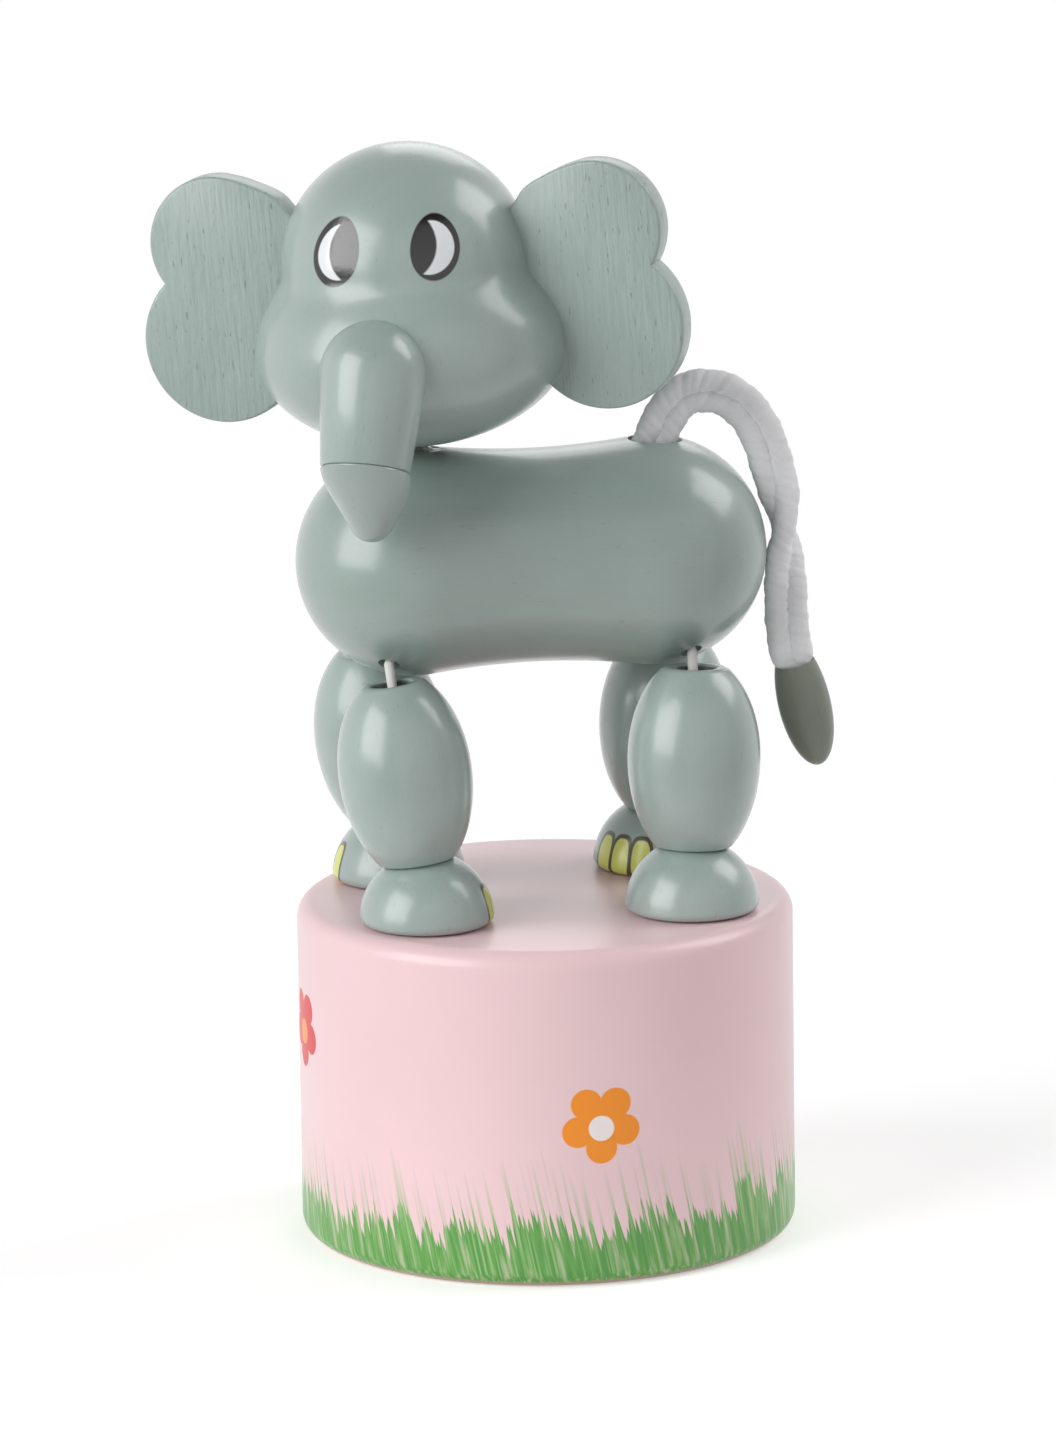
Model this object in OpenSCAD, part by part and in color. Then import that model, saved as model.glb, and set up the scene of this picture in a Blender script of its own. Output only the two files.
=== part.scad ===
// Push puppet: a painted wooden elephant, strung on a hollow drum with a thumb button.
// Millimetres, +Z up. The origin is the centre of the drum's underside.
// The elephant faces -X at rest, so its left side is -Y and its tail is at +X.

/* [Drum] */
// Radius of the drum
drum_r = 25; // [24.5:0.1:28]
// Height of the drum
drum_h = 34.3; // [32:0.1:44]
// Radius of the rounded upper rim
drum_top_round = 2.6; // [0.8:0.1:4]
// Radius of the rounded lower rim
drum_low_round = 1.8; // [0.6:0.1:3]
// Wall round the hollow
drum_wall = 5.4; // [3.5:0.1:5.8]
// Wood left over the hollow
ceiling_t = 7.3; // [4:0.1:9]

/* [Button and spring] */
// Depth of the button's face above the drum's underside
button_recess = 6; // [5:0.1:8]
// Thickness of the button
button_t = 4; // [3:0.1:5]
// Room round the button
button_gap = 0.5; // [0.3:0.05:0.8]
// Height of the boss that keeps the spring in place
boss_h = 2; // [1:0.1:3]
// Radius of the spring at the middle of its wire
spring_r = 8; // [6:0.1:10]
// Diameter of the spring wire
wire_d = 1.2; // [0.8:0.1:1.4]
// Open turns of the spring
open_turns = 4; // [3:1:5]
// Gap between the closed turns at the spring's ends
coil_gap = 0.5; // [0.45:0.05:0.8]

/* [Strings] */
// Diameter of the tension strings
string_d = 1; // [0.8:0.1:1.2]
// Room round a string in its holes
string_room = 0.4; // [0.3:0.05:0.5]
// Radius of the knots
knot_r = 1.3; // [1.1:0.05:1.5]

/* [Feet] */
// Distance of the feet from the drum's edge
foot_margin = 1.75; // [1.5:0.05:2.5]
// Direction of the feet from the middle, to the left and right of straight ahead, in degrees
foot_turn = 35.6; // [34:0.1:37]
// Radius of the dome of a foot
foot_r = 6.75; // [6:0.05:7]
// Height of a foot below its dome
foot_skirt = 0.3; // [0.25:0.05:1.5]
// Rounding of a foot's lower edge
foot_edge = 0.2; // [0.1:0.05:0.25]

/* [Legs] */
// Length of a leg bead
leg_l = 18.1; // [16:0.1:22]
// Largest radius of a leg bead
leg_r = 6.65; // [5.5:0.05:7]
// Radius of the flat upper end of a leg bead
leg_end_r = 3.2; // [2.8:0.1:3.6]
// Radius of the cup in the lower end of a leg bead, which sits on the foot's dome
leg_cup_r = 3.5; // [3:0.1:4]
// Width of the rim round that cup
leg_cup_rim = 0.3; // [0.2:0.05:0.5]
// Radius of the bore of a leg bead
leg_bore_r = 2; // [1.6:0.1:2.3]
// Forward lean of the front legs at rest, in degrees
front_tilt = 7; // [4:0.5:9]
// Forward lean of the rear legs at rest, in degrees
rear_tilt = -2; // [-3:0.5:2]
// Distance that a leg comes in towards the middle between its pivots
lean_in = 1.4; // [1:0.1:2.4]
// Depth of the upper pivot under the top of a leg
pivot_depth = 4; // [3.8:0.1:6]

/* [Torso] */
// Reach of the torso's ends past the middle of the feet
torso_past = 10.3; // [9.5:0.1:12]
// Radius of the torso's round ends
torso_r = 11.55; // [11.2:0.05:12.5]
// Depth of the torso's waist under its round ends
waist_fall = 0.85; // [0.5:0.05:1.2]
// Distance that the strings come in between the legs and the torso
string_in = 1.8; // [1:0.1:2]
// Radius of the neck hole
neck_hole_r = 1.7; // [1.5:0.05:2]
// Radius of the tail hole and of the bore in the head
socket_r = 2.7; // [2.6:0.05:3]
// Depth of the neck and tail holes
socket_depth = 8; // [7.5:0.1:9]
// Distance of the neck hole from the torso's front end
neck_in = 13; // [12:0.1:14]
// Distance of the tail hole from the torso's rear end
tail_in = 10.9; // [10:0.1:11.5]
// Backward slant of the tail hole, in degrees
tail_slant = 25; // [15:1:30]

/* [Head] */
// Radius of the muzzle
muzzle_r = 15.8; // [15:0.1:17]
// Height of the muzzle below its widest place
muzzle_low = 10.1; // [9.5:0.1:11]
// Height of the muzzle above its widest place
muzzle_high = 11; // [10:0.1:12]
// Radius of the crown
crown_r = 12.4; // [11.5:0.1:13.5]
// Height of the crown above its widest place
crown_high = 11.8; // [10.5:0.1:13]
// Height of the crown's widest place over the bottom of the head
crown_at = 18.5; // [17.5:0.1:19.5]
// Sharpness of the waist between crown and muzzle
waist_power = 16; // [8:1:24]
// Turn of the head at rest, to its left, in degrees
head_turn = 64; // [0:1:80]
// Sideways tilt of the head at rest, in degrees
head_tilt = 4.5; // [0:0.5:6]
// Depth of the blind bore for the strings
neck_bore_depth = 12; // [11.5:0.1:14]
// Length of the plug in that bore
plug_l = 5; // [3:0.1:5.5]
// Depth of the plug's lower face in the bore
plug_in = 2; // [1:0.1:2.5]

/* [Ears] */
// Thickness of the ears
ear_t = 3.2; // [2.4:0.1:4]
// Radius of the upper lobe
ear_upper_r = 6.85; // [6:0.05:8]
// Distance of the upper lobe's centre from the head's axis
ear_upper_out = 19.8; // [18.5:0.1:22]
// Height of the upper lobe's centre over the bottom of the head
ear_upper_at = 20.9; // [20:0.1:22]
// Radius of the lower lobe
ear_lower_r = 8.25; // [7.5:0.05:9]
// Distance of the lower lobe's centre from the head's axis
ear_lower_out = 19.9; // [18.5:0.1:21]
// Height of the lower lobe's centre over the bottom of the head
ear_lower_at = 11.1; // [10:0.1:12]
// Direction in which the upper lobe runs into the root, in degrees
ear_upper_turn = 148; // [140:1:155]
// Direction in which the lower lobe runs into the root, in degrees
ear_lower_turn = 235; // [225:1:245]
// Distance of the ear's inner edge from the head's axis
ear_root = 9; // [8:0.1:10]
// Distance of the root's upper corner from the head's axis
ear_shoulder = 11.5; // [11:0.1:12.5]
// Height of the root over the upper lobe's centre
ear_root_up = 2.6; // [1:0.1:4]
// Depth of the root under the lower lobe's centre
ear_root_down = 5.6; // [4:0.1:6]
// Distance of the ears behind the head's axis
ear_back = 1; // [0:0.1:2]

/* [Trunk] */
// Length of the upper piece
trunk_l = 14.9; // [12:0.1:17]
// Radius of the upper piece at its round top
trunk_r = 5.3; // [4.5:0.05:5.6]
// Radius of the upper piece at the joint
trunk_joint_r = 4.65; // [4:0.05:5]
// Forward lean of the upper piece, in degrees
trunk_lean = 21; // [15:1:27]
// Distance of the round top's centre from the head's axis
trunk_out = 15.1; // [14.5:0.1:16]
// Height of the round top's centre over the bottom of the head
trunk_at = 9.8; // [9:0.1:11]
// Radius of the end of the tip
tip_r = 2.2; // [1.6:0.05:2.8]
// Drop of the tip's end below the joint
tip_drop = 5.5; // [4.5:0.1:7]
// Distance that the tip's end runs back from the joint
tip_back = 2.4; // [1.5:0.1:4.5]
// Radius of the dowel that carries the trunk
dowel_r = 1.5; // [1:0.1:2]
// Length of the dowel
dowel_l = 8; // [6:0.1:9]
// Reach of the dowel ahead of the round top's centre
dowel_ahead = 1; // [0:0.1:2]

/* [Tail] */
// Diameter of a strand of the tail cord
strand_d = 2; // [1.6:0.1:2.2]
// Gap between the two strands
strand_gap = 0.1; // [0.05:0.05:0.3]
// Length of the tail bead
bead_l = 10.9; // [9:0.1:13]
// Largest radius of the tail bead
bead_r = 2.65; // [2.3:0.05:3.2]
// Distance of the tail bead's widest place from its top
bead_bulge = 4.4; // [3.5:0.1:5.5]
// Radius of the bore at the top of the tail bead
bead_bore_r = 1.7; // [1.6:0.05:1.9]
// Depth of that bore
bead_bore_depth = 3; // [2.6:0.1:4]
// Width of the rim round that bore
bead_rim = 0.35; // [0.2:0.05:0.4]

/* [Clearances] */
// Gap between parts that turn on each other
run_gap = 0.15; // [0.1:0.05:0.3]
// Gap between the legs and the torso, which leaves room to lean
seat_gap = 0.2; // [0.2:0.05:0.5]
// Gap between the head and the torso, which leaves room to nod
nod_gap = 0.4; // [0.35:0.05:0.6]
// Gap round a glued joint
glue_gap = 0.05; // [0.02:0.01:0.1]

/* [Hidden] */
$fn = 48;
CUT = 1;
SLANT_CUT = 4;
SLICE = 0.2;
FRONT_LEFT = [-1, -1];
FRONT_RIGHT = [-1, 1];
REAR_LEFT = [1, -1];
REAR_RIGHT = [1, 1];
CORNERS = [FRONT_LEFT, FRONT_RIGHT, REAR_LEFT, REAR_RIGHT];

PINK = [0.94, 0.84, 0.86];
GREEN = [0.60, 0.66, 0.64];
DARK_GREEN = [0.42, 0.43, 0.39];
WOOD = [0.82, 0.66, 0.45];
STEEL = [0.62, 0.62, 0.64];
WHITE = [0.93, 0.92, 0.88];

// Hollow, button and spring
string_r = string_d / 2;
string_hole_r = string_r + string_room;
hollow_r = drum_r - drum_wall;
hollow_h = drum_h - ceiling_t;
button_r = hollow_r - button_gap;
button_top = button_recess + button_t;
boss_r = spring_r - wire_d;
spring_low = button_top + glue_gap + wire_d / 2;
spring_high = hollow_h - glue_gap - wire_d / 2;
closed_pitch = wire_d + coil_gap;
spring_turns = open_turns + 2;
open_pitch = (spring_high - spring_low - 2 * closed_pitch) / open_turns;
RINGS_A_TURN = 8;
spring_path = [for (i = [0 : spring_turns * RINGS_A_TURN]) spring_point(i / RINGS_A_TURN)];
spring_self_gap = min([
    for (i = [0 : len(spring_path) - 1])
        for (j = [i + RINGS_A_TURN - 2 : 1 : len(spring_path) - 1])
            norm(spring_path[i] - spring_path[j]) - wire_d
]);

// Feet and legs: a leg swings about the centre of the dome that it sits on
foot_reach = drum_r - foot_margin - foot_r;
foot_x = foot_reach * cos(foot_turn);
foot_y = foot_reach * sin(foot_turn);
foot_bore_r = leg_bore_r - string_room;
dome_z = drum_h + run_gap + foot_skirt;
leg_seat = sqrt(pow(foot_r + run_gap, 2) - leg_cup_r * leg_cup_r);
link_l = leg_seat + leg_l - pivot_depth;
leg_top = leg_seat + leg_l;
splay = asin(lean_in / link_l);
rim_y = foot_y - leg_top * sin(splay) - leg_end_r * cos(splay);
rim_z = max(leg_point(FRONT_LEFT, leg_top)[2], leg_point(REAR_LEFT, leg_top)[2]) - leg_end_r * sin(splay);

// Torso: two end spheres with a hollow curve that runs into both
torso_x = (pivot_point(FRONT_LEFT)[0] + pivot_point(REAR_LEFT)[0]) / 2;
torso_l = 2 * (foot_x + torso_past);
neck_ahead = torso_l / 2 - neck_in;
tail_behind = torso_l / 2 - tail_in;
waist_r = torso_r - waist_fall;
end_at = torso_l / 2 - torso_r;
waist_curve = (end_at * end_at / waist_fall - torso_r - waist_r) / 2;
waist_end = end_at - end_at * torso_r / (waist_curve + torso_r);
torso_z = rim_z + sqrt(pow(torso_r + seat_gap, 2) - rim_y * rim_y);
neck_x = torso_x - neck_ahead;
tail_x = torso_x + tail_behind;
neck_point = [neck_x, 0, torso_z + torso_radius(-neck_ahead)];
tail_mouth = [tail_x, 0, torso_z + torso_radius(tail_behind)];
tail_axis = [sin(tail_slant), 0, cos(tail_slant)];

// Head: a crown and a muzzle, run together where they cross
head_point = neck_point + [0, 0, nod_gap];
head_h = crown_at + crown_high;
strand_out = (strand_d + strand_gap) / 2;
pair_out = string_r + glue_gap;

// Middle of the tail cord from the tail hole's mouth, one point for each ring
TAIL_ROUTE = [
    [-2.1, 0, -4.5], [-1.1, 0, -2.3], [0, 0, 0], [1.1, 0, 2.3], [2.8, 0, 4], [5, 0, 4.4],
    [7.4, 0, 3.7], [9.4, 0, 1.9], [10.8, 0, -0.6], [11.7, 0, -3.5], [12.4, 0, -6.4],
    [12.8, 0, -9.4], [12.9, 0, -12.6], [13, 0, -16.1], [13.1, 0, -19.7], [13.5, 0, -22.6],
    [13.9, 0, -24.2], [14.3, 0, -25.8]
];
TWIST_FROM = 8.5;
TWIST_TO = 13.5;
BEAD_TOP = [13.85, 0, -23.9];
bead_lean = 13;
STRAND_SIDES = 8;
WIRE_SIDES = 6;

echo(spring_self_gap = spring_self_gap);

// Height of the spring's wire, with one closed turn at each end
function spring_height(turn) =
    turn < 1 ? closed_pitch * turn
    : turn > spring_turns - 1 ? spring_high - spring_low - closed_pitch * (spring_turns - turn)
    : closed_pitch + open_pitch * (turn - 1);

function spring_point(turn) =
    [spring_r * cos(360 * turn), spring_r * sin(360 * turn), spring_low + spring_height(turn)];

// Radius of the torso at a distance from its middle
function torso_radius(t) =
    abs(t) > waist_end
    ? sqrt(max(0, torso_r * torso_r - pow(abs(t) - end_at, 2)))
    : waist_curve + waist_r - sqrt(waist_curve * waist_curve - t * t);

// Half-width of an ellipse at a height from its widest place
function ellipse(half_width, half_height, z) =
    half_width * sqrt(max(0, 1 - pow(z / half_height, 2)));

function crown_radius(z) = ellipse(crown_r, crown_high, z - crown_at);

function muzzle_radius(z) = ellipse(muzzle_r, z < muzzle_low ? muzzle_low : muzzle_high, z - muzzle_low);

// Radius of the head at a height, with the waist filled where the two forms cross
function head_radius(z) =
    pow(pow(crown_radius(z), waist_power) + pow(muzzle_radius(z), waist_power), 1 / waist_power);

function corner_point(corner, z) = [corner[0] * foot_x, corner[1] * foot_y, z];

// Forward lean of a leg at rest
function lean(corner) = corner[0] < 0 ? front_tilt : rear_tilt;

// Point on a leg's string, at a distance from the centre of its foot's dome
function leg_point(corner, distance) =
    corner_point(corner, dome_z) + distance * [
        -sin(lean(corner)) * cos(splay),
        -corner[1] * sin(splay),
        cos(lean(corner)) * cos(splay)
    ];

// Upper pivot of a leg, inside its bore
function pivot_point(corner) = leg_point(corner, link_l);

// Where a string goes into the torso's underside, over the top of its leg
function torso_entry(corner) =
    let (
        top = leg_point(corner, leg_top),
        reach = torso_radius(top[0] - torso_x),
        y = top[1] - corner[1] * string_in
    )
    [top[0], y, torso_z - sqrt(reach * reach - y * y)];

// Bottom of the neck hole or of the tail hole, on the side of that string
function socket_floor(corner) =
    corner[0] < 0
    ? neck_point + [0, corner[1] * pair_out, -socket_depth + string_r]
    : tail_mouth - (socket_depth - knot_r) * tail_axis + [0, corner[1] * knot_r, 0];

function unit(v) = v / norm(v);

// Direction of a path at one of its points
function heading(path, i) =
    unit(path[min(i + 1, len(path) - 1)] - path[max(i - 1, 0)]);

// Share of the half turn that the strands have made at a point of the route
function twist(i) =
    let (t = min(1, max(0, (i - TWIST_FROM) / (TWIST_TO - TWIST_FROM))))
    t * t * (3 - 2 * t);

// Middle line of one strand: it turns half round the other on its way down
function strand_path(start) = [
    for (i = [0 : len(TAIL_ROUTE) - 1])
        let (
            along = heading(TAIL_ROUTE, i),
            aside = [along[2], 0, -along[0]],
            turn = start + 180 * twist(i),
            last = i > len(TAIL_ROUTE) - 3,
            out = last ? bead_bore_r - strand_d / 2 - glue_gap : strand_out
        )
        tail_mouth + TAIL_ROUTE[i] + out * (cos(turn) * aside + sin(turn) * [0, 1, 0])
];

// Round tube along a path, with one ring at each point
module tube(path, r, sides, side_hint) {
    last = len(path) - 1;
    rings = [
        for (i = [0 : last])
            let (
                along = heading(path, i),
                across = unit(cross(along, side_hint)),
                up = cross(across, along)
            )
            for (k = [0 : sides - 1])
                path[i] + r * (cos(360 * k / sides) * across + sin(360 * k / sides) * up)
    ];
    walls = [
        for (i = [0 : last - 1])
            for (k = [0 : sides - 1])
                let (
                    a = i * sides + k,
                    b = i * sides + (k + 1) % sides
                )
                for (face = [[a, b, a + sides], [b, b + sides, a + sides]])
                    face
    ];
    start_cap = [for (k = [1 : sides - 2]) [0, k + 1, k]];
    end_cap = [for (k = [1 : sides - 2]) [last * sides, last * sides + k, last * sides + k + 1]];
    polyhedron(points = rings, faces = concat(walls, start_cap, end_cap));
}

// Straight round rod between two points
module rod(a, b, r) {
    v = b - a;
    translate(a)
        rotate([0, acos(v[2] / norm(v)), atan2(v[1], v[0])])
            cylinder(h = norm(v), r = r);
}

// Places children in the head's own frame: they face -X, with the head's bottom at the origin
module in_head() {
    translate(head_point)
        rotate([0, 0, head_turn])
            rotate([-head_tilt, 0, 0])
                children();
}

// Places children on the trunk's axis, with the centre of its round top at the origin
module on_trunk() {
    translate([-trunk_out, 0, trunk_at])
        rotate([0, trunk_lean, 0])
            children();
}

module base_drum() {
    top_edge = [for (a = [0 : 10 : 90])
        [drum_r - drum_top_round * (1 - cos(a)), drum_h - drum_top_round * (1 - sin(a))]];
    low_edge = [for (a = [-90 : 10 : 0])
        [drum_r - drum_low_round * (1 - cos(a)), drum_low_round * (1 + sin(a))]];
    color(PINK)
        difference() {
            rotate_extrude($fn = 96)
                polygon(concat([[0, 0]], low_edge, top_edge, [[0, drum_h]]));
            translate([0, 0, -CUT])
                cylinder(h = hollow_h + CUT, r = hollow_r);
            for (corner = CORNERS)
                translate(corner_point(corner, hollow_h - CUT))
                    cylinder(h = ceiling_t + 2 * CUT, r = string_hole_r);
        }
}

module push_button() {
    chamfer = button_gap;
    color(WOOD)
        difference() {
            rotate_extrude()
                polygon([
                    [0, button_recess],
                    [button_r - chamfer, button_recess],
                    [button_r, button_recess + chamfer],
                    [button_r, button_top - chamfer],
                    [button_r - chamfer, button_top],
                    [boss_r, button_top],
                    [boss_r - chamfer, button_top + boss_h],
                    [0, button_top + boss_h]
                ]);
            for (corner = CORNERS)
                translate(corner_point(corner, button_recess - CUT))
                    cylinder(h = button_t + 2 * CUT, r = string_hole_r);
        }
}

module return_spring() {
    color(STEEL)
        tube(spring_path, wire_d / 2, WIRE_SIDES, [0, 0, 1]);
}

module foot(corner) {
    dome = [for (a = [0 : 5 : 85]) [foot_r * cos(a), foot_skirt + foot_r * sin(a)]];
    color(GREEN)
        translate(corner_point(corner, drum_h + run_gap))
            difference() {
                rotate_extrude()
                    polygon(concat(
                        [[0, 0], [foot_r - foot_edge, 0], [foot_r, foot_edge]],
                        dome,
                        [[0, foot_skirt + foot_r]]
                    ));
                translate([0, 0, -CUT])
                    cylinder(h = foot_r + foot_skirt + 2 * CUT, r = foot_bore_r);
            }
}

// Places children on a leg's string, with the centre of its foot's dome at the origin
module on_leg(corner) {
    translate(corner_point(corner, dome_z))
        rotate([corner[1] * splay, -lean(corner), 0])
            children();
}

// Half of a leg's length on the full ellipse that runs out at a flat end
function leg_half_axis(end_r) = leg_l / 2 / sqrt(1 - pow(end_r / leg_r, 2));

module leg(corner) {
    middle = leg_seat + leg_l / 2;
    side = [for (a = [-90 : 7.5 : 90])
        let (
            z = leg_l / 2 * sin(a),
            end_r = z < 0 ? leg_cup_r + leg_cup_rim : leg_end_r
        )
        [ellipse(leg_r, leg_half_axis(end_r), z), middle + z]];
    color(GREEN)
        on_leg(corner)
            difference() {
                rotate_extrude()
                    polygon(concat([[0, leg_seat]], side, [[0, leg_top]]));
                sphere(r = foot_r + run_gap);
                translate([0, 0, leg_seat - CUT])
                    cylinder(h = leg_l + 2 * CUT, r = leg_bore_r);
            }
}

// String from its knot under the button up to the middle of a foot
module lower_string(corner) {
    knot_z = button_recess - glue_gap - knot_r;
    color(WHITE)
        translate(corner_point(corner, knot_z)) {
            cylinder(h = dome_z - run_gap - knot_z, r = string_r);
            sphere(r = knot_r);
        }
}

module leg_string(corner) {
    color(WHITE)
        on_leg(corner)
            translate([0, 0, run_gap])
                cylinder(h = link_l - 2 * run_gap, r = string_r);
}

// String from a leg's upper pivot into the torso: the front pair goes on to the neck,
// and the rear pair ends in knots in the tail hole
module string_tube(route) {
    tube(route, string_r, STRAND_SIDES, [1, 0, 0]);
}

module torso_string(corner) {
    to_neck = corner[0] < 0;
    start = pivot_point(corner) + [0, 0, run_gap];
    floor_point = socket_floor(corner);
    route = [start, torso_entry(corner), floor_point];
    color(WHITE)
        if (to_neck)
            string_tube(concat(route, [[neck_x, floor_point[1], neck_point[2]]]));
        else {
            string_tube(route);
            translate(floor_point)
                rotate([0, -90, 0])
                    sphere(r = knot_r - glue_gap);
        }
}

module torso() {
    half = torso_l / 2;
    profile = [for (a = [0 : 5 : 180]) [torso_radius(half * cos(a)), half * cos(a)]];
    bore_r = string_hole_r + string_room / 2;
    color(GREEN)
        difference() {
            translate([torso_x, 0, torso_z])
                rotate([0, 90, 0])
                    rotate_extrude($fn = 96)
                        polygon(profile);
            for (corner = CORNERS) {
                into = unit(socket_floor(corner) - torso_entry(corner));
                rod(torso_entry(corner) - SLANT_CUT * into, socket_floor(corner), bore_r);
            }
            rod(neck_point - [0, 0, socket_depth], neck_point + [0, 0, SLANT_CUT], neck_hole_r);
            rod(tail_mouth - socket_depth * tail_axis, tail_mouth + SLANT_CUT * tail_axis, socket_r);
        }
}

// The two front strings, from the neck hole up to their knot in the head
module neck_string() {
    knot_z = plug_in + plug_l + knot_r;
    color(WHITE)
        in_head() {
            for (side = [-1, 1])
                translate([0, side * pair_out, run_gap - nod_gap])
                    cylinder(h = knot_z + nod_gap, r = string_r);
            translate([0, 0, knot_z])
                sphere(r = knot_r);
        }
}

module head_plug() {
    hole_r = 2 * string_r + 2 * glue_gap + run_gap;
    color(WOOD)
        in_head()
            translate([0, 0, plug_in - glue_gap])
                difference() {
                    cylinder(h = plug_l, r = socket_r - 2 * glue_gap);
                    translate([0, 0, -CUT])
                        cylinder(h = plug_l + 2 * CUT, r = hole_r);
                }
}

module ear_outline(inner_edge) {
    upper = [ear_upper_out, ear_upper_at];
    lower = [ear_lower_out, ear_lower_at];
    upper_meet = upper + ear_upper_r * [cos(ear_upper_turn), sin(ear_upper_turn)];
    lower_meet = lower + ear_lower_r * [cos(ear_lower_turn), sin(ear_lower_turn)];
    translate(upper)
        circle(r = ear_upper_r);
    translate(lower)
        circle(r = ear_lower_r);
    polygon([
        [inner_edge, ear_lower_at - ear_root_down],
        lower_meet,
        lower,
        upper,
        upper_meet,
        [ear_shoulder, ear_upper_at + ear_root_up],
        [inner_edge, ear_upper_at + ear_root_up]
    ]);
}

// Ear board of a given thickness, on the head's right (+1) or left (-1) side
module ear_board(side, thickness, inner_edge) {
    mirror([0, side < 0 ? 1 : 0, 0])
        translate([ear_back - thickness / 2, 0, 0])
            rotate([90, 0, 90])
                linear_extrude(height = thickness)
                    ear_outline(inner_edge);
}

module left_ear() {
    color(GREEN)
        in_head()
            ear_board(-1, ear_t, ear_root);
}

module right_ear() {
    color(GREEN)
        in_head()
            ear_board(1, ear_t, ear_root);
}

module dowel_bore() {
    translate([-trunk_out - dowel_ahead - glue_gap, 0, trunk_at])
        rotate([0, 90, 0])
            cylinder(h = dowel_l + 2 * glue_gap, r = dowel_r + glue_gap);
}

module head() {
    half = head_h / 2;
    profile = [for (a = [-90 : 5 : 90])
        [abs(a) == 90 ? 0 : head_radius(half + half * sin(a)), half + half * sin(a)]];
    color(GREEN)
        in_head()
            difference() {
                rotate_extrude($fn = 96)
                    polygon(profile);
                for (side = [-1, 1])
                    ear_board(side, ear_t + 2 * glue_gap, ear_root - glue_gap);
                on_trunk()
                    trunk_finger(glue_gap);
                dowel_bore();
                translate([0, 0, -CUT])
                    cylinder(h = neck_bore_depth + CUT, r = socket_r);
            }
}

// Turned finger of the trunk, with extra room all round where it is cut from the head
module trunk_finger(room) {
    dome = [for (a = [0 : 7.5 : 82.5]) (trunk_r + room) * [cos(a), sin(a)]];
    joint_z = trunk_r - trunk_l;
    rotate_extrude()
        polygon(concat([[0, joint_z], [trunk_joint_r + room, joint_z]], dome, [[0, trunk_r + room]]));
}

module trunk_upper() {
    color(GREEN)
        in_head()
            difference() {
                on_trunk()
                    trunk_finger(0);
                dowel_bore();
            }
}

// Tip: runs from the joint's circle back to a small round end
module trunk_tip() {
    joint = [-trunk_out, 0, trunk_at] - (trunk_l - trunk_r) * [sin(trunk_lean), 0, cos(trunk_lean)];
    color(GREEN)
        in_head()
            hull() {
                on_trunk()
                    translate([0, 0, trunk_r - trunk_l - SLICE])
                        cylinder(h = SLICE, r = trunk_joint_r, $fn = 32);
                translate(joint + [tip_back, 0, -tip_drop])
                    sphere(r = tip_r, $fn = 24);
            }
}

module trunk_dowel() {
    color(WOOD)
        in_head()
            translate([-trunk_out - dowel_ahead, 0, trunk_at])
                rotate([0, 90, 0])
                    cylinder(h = dowel_l, r = dowel_r);
}

module tail_strand(start) {
    color(WHITE)
        tube(strand_path(start), strand_d / 2, STRAND_SIDES, [0, 1, 0]);
}

module tail_bead() {
    half_axis = bead_bulge / sqrt(1 - pow((bead_bore_r + bead_rim) / bead_r, 2));
    upper = [for (a = [0 : 10 : 90])
        let (z = bead_bulge * sin(a))
        [ellipse(bead_r, half_axis, z), z - bead_bulge]];
    lower = [for (a = [-90 : 10 : -10])
        [bead_r * cos(a), (bead_l - bead_bulge) * sin(a) - bead_bulge]];
    color(DARK_GREEN)
        translate(tail_mouth + BEAD_TOP)
            rotate([0, -bead_lean, 0])
                difference() {
                    rotate_extrude()
                        polygon(concat(lower, upper, [[0, 0]]));
                    translate([0, 0, -bead_bore_depth])
                        cylinder(h = bead_bore_depth + CUT, r = bead_bore_r);
                }
}

base_drum();
push_button();
return_spring();
foot(FRONT_LEFT);  // front_left_foot
foot(FRONT_RIGHT);  // front_right_foot
foot(REAR_LEFT);  // rear_left_foot
foot(REAR_RIGHT);  // rear_right_foot
leg(FRONT_LEFT);  // front_left_leg
leg(FRONT_RIGHT);  // front_right_leg
leg(REAR_LEFT);  // rear_left_leg
leg(REAR_RIGHT);  // rear_right_leg
lower_string(FRONT_LEFT);  // front_left_lower_string
lower_string(FRONT_RIGHT);  // front_right_lower_string
lower_string(REAR_LEFT);  // rear_left_lower_string
lower_string(REAR_RIGHT);  // rear_right_lower_string
leg_string(FRONT_LEFT);  // front_left_leg_string
leg_string(FRONT_RIGHT);  // front_right_leg_string
leg_string(REAR_LEFT);  // rear_left_leg_string
leg_string(REAR_RIGHT);  // rear_right_leg_string
torso();
torso_string(FRONT_LEFT);  // front_left_torso_string
torso_string(FRONT_RIGHT);  // front_right_torso_string
torso_string(REAR_LEFT);  // rear_left_torso_string
torso_string(REAR_RIGHT);  // rear_right_torso_string
neck_string();
head();
head_plug();
left_ear();
right_ear();
trunk_upper();
trunk_tip();
trunk_dowel();
tail_strand(0);  // tail_strand_a
tail_strand(180);  // tail_strand_b
tail_bead();
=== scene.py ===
"""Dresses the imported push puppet: a painted wooden elephant strung on a sprung drum."""

from __future__ import annotations

import logging
from dataclasses import dataclass, field
from enum import Enum
from math import acos, asin, atan2, cos, degrees, pi, radians, sin, sqrt, tau
from typing import Any, Callable, Iterable, Sequence

import bmesh
import bpy
from mathutils import Matrix, Vector

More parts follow.
